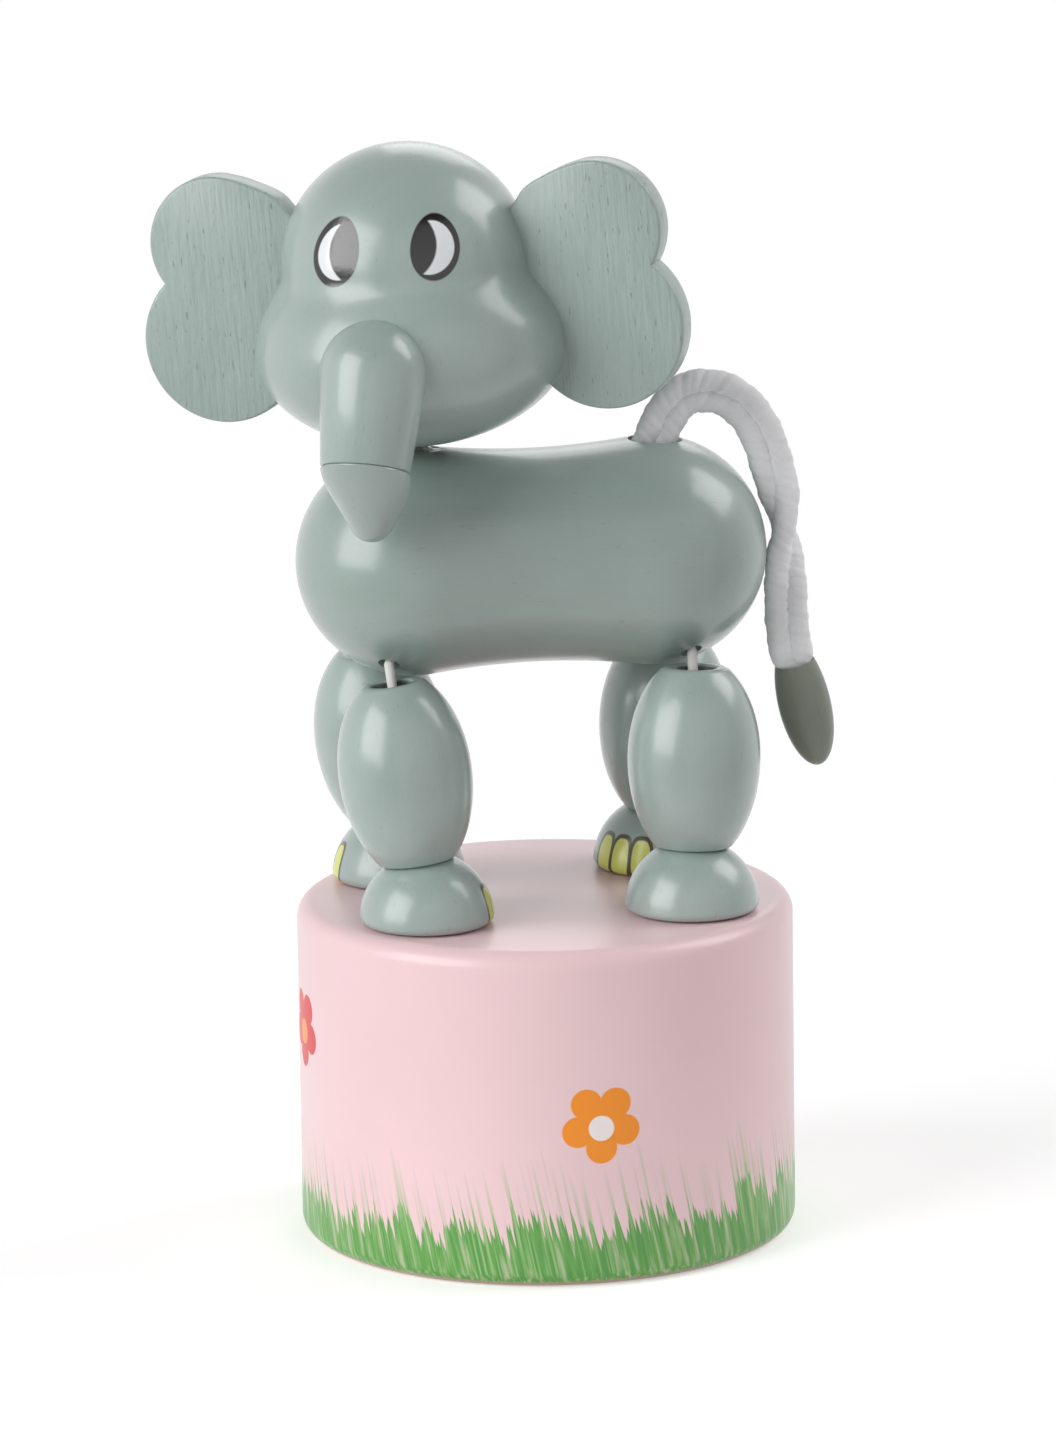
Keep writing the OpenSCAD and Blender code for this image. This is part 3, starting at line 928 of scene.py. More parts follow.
@dataclass(frozen=True)
class Cotton:
    """White cotton: fine braid on the strings, soft ply on the tail."""

    name: str
    colour: Colour
    fibre: float
    depth: float
    sheen: float = 0.1
    sheen_roughness: float = 0.5

    def material(self) -> Material:
        """Makes the cotton's material.

        Returns:
            The material.
        """
        graph = Graph(self.name)
        own = graph.place()
        fluff = graph.noise(own, self.fibre, 3.0)
        cloud = graph.noise(own, self.fibre * 0.2, 2.0)
        colour = graph.mix(fluff.ramp(0.3, 0.7), shade(self.colour, 0.95), self.colour)
        colour = graph.mix(cloud.ramp(0.35, 0.7, 0.0, 0.3), colour, shade(self.colour, 0.9))
        graph.set(
            Base_Color=colour,
            Roughness=fluff.ramp(0.3, 0.7, 0.78, 0.95),
            Sheen_Weight=self.sheen,
            Sheen_Roughness=self.sheen_roughness,
        )
        graph.bump(fluff, 0.25, self.depth)
        return graph.material


GREY_GREEN = Paint("grey_green", srgb(162, 178, 173))
# A slightly darker copy of the body paint: painted shade for the head's shadow on the torso.
TORSO_SHADED_GREEN = Paint("torso_green", srgb(153, 169, 163))
EAR_GREEN = Paint(
    "ear_green", srgb(164, 180, 175), roughness=0.46, coat=0.5, grain=1.9, pores=0.7, relief=0.3
)
DARK_GREEN = Paint("dark_green", srgb(126, 131, 119), roughness=0.5, coat=0.3, pores=0.4)
STRING_COTTON = Cotton("string_cotton", srgb(232, 232, 228), 5.0, 0.08)
TAIL_COTTON = Cotton("tail_cotton", srgb(252, 251, 253), 3.2, 0.07)


# ---------------------------------------------------------------- the puppet


@dataclass(frozen=True)
class Stance:
    """Sizes and places that the pieces share, in millimetres and degrees, as in the part's source."""

    drum_r: float = 25.0
    drum_h: float = 34.3
    button_recess: float = 6.0
    travel: float = 8.0
    foot_margin: float = 1.75
    foot_turn: float = 35.6
    foot_r: float = 6.75
    foot_skirt: float = 0.3
    leg_l: float = 18.1
    leg_end_r: float = 3.2
    leg_cup_r: float = 3.5
    leg_cup_rim: float = 0.3
    leg_bore_r: float = 2.0
    front_tilt: float = 7.0
    rear_tilt: float = -2.0
    lean_in: float = 1.4
    pivot_depth: float = 4.0
    torso_past: float = 10.3
    torso_r: float = 11.55
    waist_fall: float = 0.85
    neck_in: float = 13.0
    tail_in: float = 10.9
    tail_slant: float = 25.0
    string_in: float = 1.8
    socket_depth: float = 8.0
    head_turn: float = 64.0
    head_tilt: float = 4.5
    touch_gap: float = 0.05
    run_gap: float = 0.15
    seat_gap: float = 0.2
    nod_gap: float = 0.4
    string_r: float = 0.5
    knot_r: float = 1.3

    @property
    def dome_z(self) -> float:
        """Height of the centres of the feet's domes."""
        return self.drum_h + self.run_gap + self.foot_skirt

    @property
    def leg_seat(self) -> float:
        """Distance of a leg's lower end from the dome's centre."""
        return sqrt((self.foot_r + self.run_gap) ** 2 - self.leg_cup_r**2)

    @property
    def leg_top(self) -> float:
        """Distance of a leg's upper end from the dome's centre."""
        return self.leg_seat + self.leg_l

    @property
    def link_l(self) -> float:
        """Distance between a leg's two pivots."""
        return self.leg_top - self.pivot_depth

    @property
    def splay(self) -> float:
        """Inward lean of the legs, in radians."""
        return asin(self.lean_in / self.link_l)

    def foot_point(self, corner: Corner, z: float) -> Vector:
        """A point on a foot's axis."""
        turn, reach = radians(self.foot_turn), self.drum_r - self.foot_margin - self.foot_r
        return Vector((corner.value[0] * reach * cos(turn), corner.side * reach * sin(turn), z))

    def leg_place(self, corner: Corner) -> Matrix:
        """A leg's own frame, with the foot's dome at its origin, in metres.

        Args:
            corner: The leg's corner.

        Returns:
            The frame.
        """
        tilt = radians(self.front_tilt if corner.ahead else self.rear_tilt)
        lean = Matrix.Rotation(-tilt, 4, "Y") @ Matrix.Rotation(corner.side * self.splay, 4, "X")
        return Matrix.Translation(self.foot_point(corner, self.dome_z) * MM) @ lean

    def leg_point(self, corner: Corner, distance: float) -> Vector:
        """A point on a leg's string, in millimetres."""
        return self.leg_place(corner) @ Vector((0, 0, distance * MM)) / MM

    @property
    def torso_half(self) -> float:
        """Half of the torso's length."""
        return self.foot_point(Corner.REAR_RIGHT, 0).x + self.torso_past

    @property
    def torso_middle(self) -> Vector:
        """The torso's middle, where it rests on the rims of the legs."""
        left = Corner.FRONT_LEFT, Corner.REAR_LEFT
        front, rear = (self.leg_point(corner, self.link_l) for corner in left)
        top = max(self.leg_point(corner, self.leg_top).z for corner in left)
        lean, rim = sin(self.splay), cos(self.splay)
        rim_y = -self.foot_point(Corner.FRONT_LEFT, 0).y - self.leg_top * lean - self.leg_end_r * rim
        rise = sqrt((self.torso_r + self.seat_gap) ** 2 - rim_y**2)
        return Vector(((front.x + rear.x) / 2, 0, top - self.leg_end_r * lean + rise))

    def torso_radius(self, t: float) -> float:
        """The torso's radius at a distance from its middle.

        Args:
            t: The distance along its axis.

        Returns:
            The radius.
        """
        end_at = self.torso_half - self.torso_r
        waist_r = self.torso_r - self.waist_fall
        curve = (end_at**2 / self.waist_fall - self.torso_r - waist_r) / 2
        if abs(t) > end_at - end_at * self.torso_r / (curve + self.torso_r):
            return sqrt(max(0.0, self.torso_r**2 - (abs(t) - end_at) ** 2))
        return curve + waist_r - sqrt(curve**2 - t**2)

    def over_torso(self, t: float) -> Vector:
        """A point on the top of the torso."""
        return self.torso_middle + Vector((t, 0, self.torso_radius(t)))

    @property
    def neck_point(self) -> Vector:
        """The middle of the neck hole's mouth."""
        return self.over_torso(self.neck_in - self.torso_half)

    @property
    def tail_mouth(self) -> Vector:
        """The middle of the tail hole's mouth."""
        return self.over_torso(self.torso_half - self.tail_in)

    @property
    def tail_axis(self) -> Vector:
        """Direction of the tail hole."""
        slant = radians(self.tail_slant)
        return Vector((sin(slant), 0, cos(slant)))

    @property
    def head_place(self) -> Matrix:
        """The head's own frame, which faces -X from the bottom of the head, in metres."""
        foot = Matrix.Translation((self.neck_point + Vector((0, 0, self.nod_gap))) * MM)
        turn = Matrix.Rotation(radians(self.head_turn), 4, "Z")
        return foot @ turn @ Matrix.Rotation(radians(-self.head_tilt), 4, "X")

    def torso_entry(self, corner: Corner) -> Vector:
        """Where a string goes into the torso's underside.

        Args:
            corner: The string's corner.

        Returns:
            The point in millimetres.
        """
        top = self.leg_point(corner, self.leg_top)
        reach = self.torso_radius(top.x - self.torso_middle.x)
        y = top.y - corner.side * self.string_in
        return Vector((top.x, y, self.torso_middle.z - sqrt(reach**2 - y**2)))

    def socket_floor(self, corner: Corner) -> Vector:
        """Where a string comes out at the bottom of the neck or tail hole.

        Args:
            corner: The string's corner.

        Returns:
            The point in millimetres.
        """
        if corner.ahead:
            aside = corner.side * (self.string_r + self.touch_gap)
            return self.neck_point + Vector((0, aside, self.string_r - self.socket_depth))
        depth = self.socket_depth - self.knot_r
        return self.tail_mouth - depth * self.tail_axis + Vector((0, corner.side * self.knot_r, 0))


@dataclass
class Drum:
    """The hollow drum with its button and spring."""

    stance: Stance
    top_round: float = 1.9
    low_round: float = 1.8
    wall: float = 5.4
    ceiling: float = 7.3
    button_t: float = 4.0
    button_gap: float = 0.5
    button_edge: float = 0.5
    boss_h: float = 2.0
    boss_taper: float = 0.5
    spring_r: float = 8.0
    wire_r: float = 0.6
    open_turns: int = 4
    turn_steps: int = 32
    closed_pitch: float = 1.7
    mouth_edge: float = 0.3
    hole_r: float = 0.9
    hole_past: float = 1.0

    @property
    def hollow_r(self) -> float:
        """Radius of the hollow."""
        return self.stance.drum_r - self.wall

    @property
    def hollow_h(self) -> float:
        """Height of the hollow."""
        return self.stance.drum_h - self.ceiling

    def build(self) -> None:
        """Builds the drum, the button and the spring."""
        self.build_drum()
        self.build_button()
        self.build_spring()

    def drill_holes(self, piece: Piece, low: float, high: float) -> None:
        """Drills the four string holes through a piece.

        Args:
            piece: The drum or the button.
            low: Height of its lower face.
            high: Height of its upper face.
        """
        for corner in Corner:
            start = self.stance.foot_point(corner, low - self.hole_past)
            drill(piece, start, self.stance.foot_point(corner, high + self.hole_past), self.hole_r)

    def build_drum(self) -> None:
        """Turns the drum and drills its string holes."""
        r, h, inner, roof = self.stance.drum_r, self.stance.drum_h, self.hollow_r, self.hollow_h
        mouth = (inner, self.mouth_edge)
        profile = [mouth, (inner + self.mouth_edge, 0)]
        profile += arc((r - self.low_round, self.low_round), self.low_round, -90, 0, 8)
        profile += arc((r - self.top_round, h - self.top_round), self.top_round, 0, 90, 12)
        drum = turned("drum", [*profile, (0, h), (0, roof), (inner, roof), mouth], 144)
        self.drill_holes(drum, roof, h)
        dress(drum, DrumPaint().material(r, inner, roof), "base", "base_drum")

    def build_button(self) -> None:
        """Turns the thumb button with its spring boss and drills its string holes."""
        low, edge = self.stance.button_recess, self.button_edge
        high, side = low + self.button_t, self.hollow_r - self.button_gap - edge
        boss, boss_top = self.spring_r - 2 * self.wire_r, high + self.boss_h
        profile = [(0, low), *arc((side, low + edge), edge, -90, 0, 4)]
        profile += [*arc((side, high - edge), edge, 0, 90, 4), (boss, high)]
        button = turned("thumb_button", [*profile, (boss - self.boss_taper, boss_top), (0, boss_top)])
        self.drill_holes(button, low, high)
        wood = BareWood().material("button", Grain.ALONG_Y)
        dress(button, wood, "button", "push_button")

    def build_spring(self) -> None:
        """Winds the spring, with a closed turn at each end."""
        s, gap = self.stance, self.stance.touch_gap + self.wire_r
        low, high = s.button_recess + self.button_t + gap, self.hollow_h - gap
        turns, closed = self.open_turns + 2, self.closed_pitch
        pitch = (high - low - 2 * closed) / self.open_turns
        points = []
        for i in range(turns * self.turn_steps + 1):
            t = i / self.turn_steps
            rise = closed * min(t, 1) + pitch * min(max(t - 1, 0), self.open_turns)
            rise += closed * max(t - turns + 1, 0)
            x, y = self.spring_r * cos(tau * t), self.spring_r * sin(tau * t)
            points.append(Vector((x, y, low + rise)))
        spring = drawn_tube("return_coil", points, self.wire_r, 4)
        dress(spring, SpringSteel().material(), "base", "return_spring")
        long = high - low + 2 * self.wire_r
        (long - s.travel) / long
        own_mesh(spring)


@dataclass
class Legs:
    """The four feet and legs, beads on the strings."""

    stance: Stance
    leg_r: float = 6.65
    leg_steps: int = 32
    foot_edge: float = 0.8
    end_round: float = 0.35
    foot_bore_r: float = 1.6
    nails: dict[Corner, float] = field(
        default_factory=lambda: {
            Corner.FRONT_LEFT: 0.5,
            Corner.FRONT_RIGHT: 165.0,
            Corner.REAR_LEFT: 100.0,
            Corner.REAR_RIGHT: -138.0,
        }
    )

    def build(self) -> None:
        """Builds a foot and a leg at each corner."""
        for corner in Corner:
            self.build_foot(corner)
            self.build_leg(corner)

    def build_foot(self, corner: Corner) -> None:
        """Turns a domed foot and paints its toenails.

        Args:
            corner: The foot's corner.
        """
        s, bore, edge = self.stance, self.foot_bore_r, self.foot_edge
        r, over = s.foot_r, edge - s.foot_skirt
        low, top = degrees(asin(over / r)), degrees(acos(bore / r))
        reach = sqrt(r**2 - over**2)
        profile = [(bore, 0), *arc((reach - edge, edge), edge, -90, 0, 8)[:-1]]
        profile += [*arc((0, s.foot_skirt), r, low, top, 28), (bore, 0)]
        foot = turned(f"{corner.label}_toe_dome", profile, 80)
        place = Matrix.Translation(s.foot_point(corner, s.drum_h + s.run_gap) * MM)
        put(foot, place)
        paint = NailPaint(GREY_GREEN).material(foot.name, place, self.nails[corner])
        dress(foot, paint, f"{corner.label}_foot", f"{corner.label}_foot")

    def leg_side(self) -> Profile:
        """The swelling side of a leg, from the rim of its cup to its flat upper end.

        Returns:
            Radius and height of each point, in millimetres.
        """
        s, half, side = self.stance, self.stance.leg_l / 2, []
        for i in range(self.leg_steps + 1):
            angle = radians(-90 + 180 * i / self.leg_steps)
            z = (half - self.end_round * 0.5) * sin(angle)
            end_r = s.leg_cup_r + s.leg_cup_rim if z < 0 else s.leg_end_r
            axis = half / sqrt(1 - (end_r / self.leg_r) ** 2)
            side.append((self.leg_r * sqrt(1 - (z / axis) ** 2), s.leg_seat + half + z))
        return side

    def build_leg(self, corner: Corner) -> None:
        """Turns a barrel-shaped leg, bored through and cupped below to sit on its foot.

        Args:
            corner: The leg's corner.
        """
        s, soft, chamfer = self.stance, self.end_round, self.end_round * 0.3
        bore, high, cup = s.leg_bore_r, s.leg_top, s.foot_r + s.run_gap
        inner, outer = (degrees(acos(r / cup)) for r in (bore, s.leg_cup_r))
        profile = arc((0, 0), cup, inner, outer, 8)
        profile += [(s.leg_cup_r + s.leg_cup_rim * 0.6, s.leg_seat), *self.leg_side()]
        profile += [(s.leg_end_r - soft * 0.5, high), (bore + soft, high)]
        profile += [(bore + chamfer, high - chamfer), (bore, high - soft), profile[0]]
        leg = turned(f"{corner.label}_leg_barrel", profile, 80)
        place = s.leg_place(corner)
        put(leg, place)
        name = f"{corner.label}_leg"
        # The leg's bore gets painted shade from Paint.bored.
        dress(leg, GREY_GREEN.bored(leg.name, place, bore), name, name, 50)


@dataclass
class Strings:
    """The tension strings: from knots under the button up through feet, legs and torso."""

    stance: Stance
    material: Material = field(default_factory=STRING_COTTON.material)
    sharp: float = 60.0
    lower_parts: int = 12
    leg_parts: int = 8
    knot_reach: float = 0.8
    knot_thick: float = 0.42
    tail_knot_thick: float = 0.4
    plug_in: float = 2.0
    plug_l: float = 5.0

    def build(self) -> None:
        """Draws the strings of each corner and the pair in the neck."""
        for corner in Corner:
            self.build_lower(corner)
            self.build_leg_run(corner)
            self.build_torso_run(corner)
        self.build_neck()

    def knot(self, name: str, middle: Vector, thick: float) -> Piece:
        """Draws a knot round a point."""
        return drawn_tube(name, knot_line(middle, self.knot_reach), thick)

    def finish(self, run: Piece, body: str, node: str) -> None:
        """Dresses a string."""
        dress(run, self.material, body, node, self.sharp)

    def build_lower(self, corner: Corner) -> None:
        """Draws a string from its knot under the button up to the foot.

        Args:
            corner: The string's corner.
        """
        s, parts = self.stance, self.lower_parts
        knot = s.foot_point(corner, s.button_recess - s.touch_gap - s.knot_r)
        top = s.foot_point(corner, s.dome_z - s.run_gap)
        points = [knot + (top - knot) * i / parts for i in range(parts + 1)]
        run = drawn_tube(f"{corner.label}_lower_cotton", points, s.string_r)
        run = joined([run, self.knot(f"{corner.label}_knot", knot, self.knot_thick)])
        self.finish(run, "button", f"{corner.label}_lower_string")
        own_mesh(run)

    def build_leg_run(self, corner: Corner) -> None:
        """Draws the string inside a leg.

        Args:
            corner: The leg's corner.
        """
        s, parts = self.stance, self.leg_parts
        long = s.link_l - s.run_gap - s.run_gap
        points = [s.leg_point(corner, s.run_gap + long * i / parts) for i in range(parts + 1)]
        run = drawn_tube(f"{corner.label}_leg_cotton", points, s.string_r)
        self.finish(run, f"{corner.label}_link", f"{corner.label}_leg_string")

    def build_torso_run(self, corner: Corner) -> None:
        """Draws the string from a leg's upper pivot into the torso.

        Args:
            corner: The leg's corner.
        """
        s = self.stance
        start = s.leg_point(corner, s.link_l) + Vector((0, 0, s.run_gap))
        floor = s.socket_floor(corner)
        points = [start, s.torso_entry(corner), floor]
        if corner.ahead:
            points.append(Vector((floor.x, floor.y, s.neck_point.z)))
        run = drawn_tube(f"{corner.label}_torso_cotton", points, s.string_r)
        if not corner.ahead:
            run = joined([run, self.knot(f"{corner.label}_tail_knot", floor, self.tail_knot_thick)])
        self.finish(run, "torso", f"{corner.label}_torso_string")

    def build_neck(self) -> None:
        """Draws the two front strings between the neck hole and their knot in the head."""
        s = self.stance
        knot_z = self.plug_in + self.plug_l + s.knot_r
        runs = []
        for side in (-1, 1):
            aside = side * (s.string_r + s.touch_gap)
            ends = [Vector((0, aside, z)) for z in (s.run_gap - s.nod_gap, knot_z)]
            points = [s.head_place @ (end * MM) / MM for end in ends]
            runs.append(drawn_tube(f"neck_cotton_{side}", points, s.string_r))
        middle = s.head_place @ Vector((0, 0, knot_z * MM)) / MM
        run = joined([*runs, self.knot("neck_knot", middle, self.knot_thick)])
        run.name = "neck_cotton"
        self.finish(run, "neck", "neck_string")


@dataclass
class Torso:
    """The waisted torso with its neck, tail and string holes."""

    stance: Stance
    neck_hole_r: float = 1.7
    tail_hole_r: float = 2.56
    bore_r: float = 1.1
    cut: float = 4.0

    def build(self) -> None:
        """Turns the torso, lays it along X and drills it."""
        s = self.stance
        torso = turned("body_barrel", round_profile(0.0, s.torso_half, 72, s.torso_radius), 128)
        lie = Matrix.Translation(s.torso_middle * MM) @ Matrix.Rotation(pi / 2, 4, "Y")
        put(torso, lie)
        for corner in Corner:
            entry, floor = s.torso_entry(corner), s.socket_floor(corner)
            drill(torso, entry - (floor - entry).normalized() * self.cut, floor, self.bore_r)
        neck = s.neck_point, Vector((0, 0, 1)), self.neck_hole_r
        for mouth, axis, hole_r in (neck, (s.tail_mouth, s.tail_axis, self.tail_hole_r)):
            drill(torso, mouth - axis * s.socket_depth, mouth + axis * self.cut, hole_r)
        # The torso takes the darker painted-shade copy of the body paint.
        dress(torso, TORSO_SHADED_GREEN.material("body_barrel", lie), "torso", "torso")


@dataclass
class Head:
    """The turned head with its ears and trunk."""

    stance: Stance
    muzzle_r: float = 15.8
    muzzle_low: float = 10.1
    muzzle_high: float = 11.0
    crown_r: float = 12.4
    crown_high: float = 11.8
    crown_at: float = 18.5
    waist_power: int = 16
    neck_bore_r: float = 2.7
    neck_bore_depth: float = 12.0
    ear_t: float = 3.2
    ear_upper: Triple = (19.8, 20.9, 6.85)
    ear_lower: Triple = (19.9, 11.1, 8.25)
    ear_upper_turn: float = 100.0
    ear_lower_turn: float = 222.0
    ear_slope: tuple[Pair, ...] = ((16.4, 27.0), (13.2, 25.5), (11.6, 23.7), (9.0, 20.8))
    ear_root: Pair = (9.0, 7.0)
    ear_back: float = 1.0
    ear_edge: float = 0.35
    trunk_l: float = 14.9
    trunk_r: float = 5.3
    trunk_joint_r: float = 4.45
    trunk_edge: float = 0.2
    trunk_lean: float = 21.0
    trunk_out: float = 15.1
    trunk_at: float = 9.8
    trunk_aside: float = -0.55
    trunk_roll: float = 4.0
    tip_r: float = 2.25
    tip_drop: float = 5.35
    tip_back: float = 2.4
    tip_aside: float = 0.6
    tip_swell: float = 0.55
    tip_edge: float = 0.14
    tip_gap: float = 0.06
    ring_start: float = 0.03
    ring_step: float = 0.087
    ring_count: int = 9

    def build(self, nodes: dict[str, Piece]) -> None:
        """Builds the head's pieces and dresses the hidden plug and dowel.

        Args:
            nodes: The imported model's own objects.
        """
        self.build_skull()
        for side in (-1, 1):
            self.build_ear(side)
        self.build_trunk()
        self.build_tip()
        for name in ("head_plug", "trunk_dowel"):
            wood = BareWood().material(name, Grain.ALONG_Z)
            for slot in nodes[name].material_slots:
                slot.material = wood

    def radius(self, z: float) -> float:
        """The head's radius at a height over its bottom.

        Args:
            z: The height.

        Returns:
            The radius.
        """

        def oval(wide: float, tall: float, middle: float) -> float:
            """Half the width of an upright oval at that height."""
            return wide * sqrt(max(0.0, 1 - ((z - middle) / tall) ** 2))

        muzzle_half = self.muzzle_low if z < self.muzzle_low else self.muzzle_high
        crown = oval(self.crown_r, self.crown_high, self.crown_at)
        muzzle = oval(self.muzzle_r, muzzle_half, self.muzzle_low)
        return (crown**self.waist_power + muzzle**self.waist_power) ** (1 / self.waist_power)

    def build_skull(self) -> None:
        """Turns the crown and muzzle and bores the neck."""
        half, place = (self.crown_at + self.crown_high) / 2, self.stance.head_place
        head = turned("skull", round_profile(half, half, 96, self.radius), 128)
        drill(head, Vector((0, 0, -1)), Vector((0, 0, self.neck_bore_depth)), self.neck_bore_r)
        put(head, place)
        dress(head, FacePaint(GREY_GREEN).material(place), "head", "head", 50)

    def ear_line(self) -> Profile:
        """The ear's outline of two round lobes that meet in a notch.

        Returns:
            Distance from the head's axis and height of each point.
        """
        (ux, uz, ur), (lx, lz, lr) = self.ear_upper, self.ear_lower
        gap = Vector((ux - lx, uz - lz))
        far = gap.length
        along = (lr**2 - ur**2 + far**2) / (2 * far)
        aside = sqrt(lr**2 - along**2)
        way = gap / far
        notch = Vector((lx, lz)) + way * along + Vector((way.y, -way.x)) * aside
        lower_end = degrees(atan2(notch.y - lz, notch.x - lx))
        upper_start = degrees(atan2(notch.y - uz, notch.x - ux))
        line = [self.ear_root, *arc((lx, lz), lr, self.ear_lower_turn - 360, lower_end, 44)]
        line += arc((ux, uz), ur, upper_start, self.ear_upper_turn, 36)[1:]
        slope = smooth_line([Vector(point) for point in (line[-1], *self.ear_slope)], 6)
        return [*line, *((point.x, point.y) for point in slope[1:])]

    def build_ear(self, side: int) -> None:
        """Cuts an ear from board and softens its edges.

        Args:
            side: -1 for the left ear, 1 for the right one.
        """
        name, place = "left" if side < 0 else "right", self.stance.head_place
        front = self.ear_back - self.ear_t / 2
        points = [Vector((front, side * out, z)) * MM for out, z in self.ear_line()]
        ear = draw_outline(f"{name}_ear_board", points)
        bpy.ops.mesh.edge_face_add()
        bpy.ops.mesh.extrude_region_move(TRANSFORM_OT_translate={"value": (self.ear_t * MM, 0, 0)})
        bpy.ops.mesh.select_all(action="SELECT")
        bpy.ops.mesh.normals_make_consistent(inside=False)
        shape = bmesh.from_edit_mesh(ear.data)
        for edge in shape.edges:
            edge.select_set(abs(edge.verts[0].co.x - edge.verts[1].co.x) < MM / 10)
        bmesh.update_edit_mesh(ear.data)
        bpy.ops.mesh.select_mode(type="EDGE")
        bpy.ops.mesh.bevel(offset=self.ear_edge * MM, segments=3, affect="EDGES")
        bpy.ops.object.mode_set(mode="OBJECT")
        put(ear, place)
        dress(ear, EAR_GREEN.material(ear.name, place), "head", f"{name}_ear", 30)

    @property
    def trunk_place(self) -> Matrix:
        """The trunk's own frame, at the centre of its round top."""
        shift = Matrix.Translation(Vector((-self.trunk_out, self.trunk_aside, self.trunk_at)) * MM)
        roll = Matrix.Rotation(radians(self.trunk_roll), 4, "X")
        lean = Matrix.Rotation(radians(self.trunk_lean), 4, "Y")
        return self.stance.head_place @ shift @ roll @ lean

    def build_trunk(self) -> None:
        """Turns the trunk's tapered finger."""
        r, edge, joint = self.trunk_joint_r, self.trunk_edge, self.trunk_r - self.trunk_l
        profile = [(0, joint), (r - edge, joint), (r, joint + edge)]
        profile += arc((0, 0), self.trunk_r, 0, 90, 24)[:-1] + [(0, self.trunk_r)]
        trunk = put(turned("trunk_finger", profile), self.trunk_place)
        paint = GREY_GREEN.material(trunk.name, self.trunk_place)
        dress(trunk, paint, "head", "trunk_upper", 50)

    def build_tip(self) -> None:
        """Shapes the trunk's tip, which swells a little from the joint to a small round end."""
        place, head, wide = self.trunk_place, self.stance.head_place, self.trunk_joint_r
        joint = Vector((0, 0, self.trunk_r - self.trunk_l))
        lean = place.to_3x3().inverted() @ head.to_3x3()
        end = joint + lean @ Vector((self.tip_back, self.tip_aside, -self.tip_drop))
        bpy.ops.mesh.primitive_uv_sphere_add(segments=64, ring_count=40, radius=self.tip_r * MM)
        parts = [put(bpy.context.object, place @ Matrix.Translation(end * MM))]
        rings = [(0.0, wide - self.tip_edge), (self.ring_start, wide)]
        for i in range(1, self.ring_count + 1):
            t = self.ring_start + self.ring_step * i
            rings.append((t, wide + (self.tip_r - wide) * t + 4 * self.tip_swell * t * (1 - t)))
        for t, radius in rings:
            bpy.ops.mesh.primitive_circle_add(vertices=96, radius=radius * MM)
            middle = joint + (end - joint) * t - Vector((0, 0, self.tip_gap))
            parts.append(put(bpy.context.object, place @ Matrix.Translation(middle * MM)))
        tip = joined(parts)
        tip.name = "trunk_horn"
        bpy.ops.object.mode_set(mode="EDIT")
        bpy.ops.mesh.select_all(action="SELECT")
        bpy.ops.mesh.convex_hull()
        bpy.ops.object.mode_set(mode="OBJECT")
        mend_normals(tip)
        dress(tip, GREY_GREEN.material(tip.name, head), "head", "trunk_tip", 40)


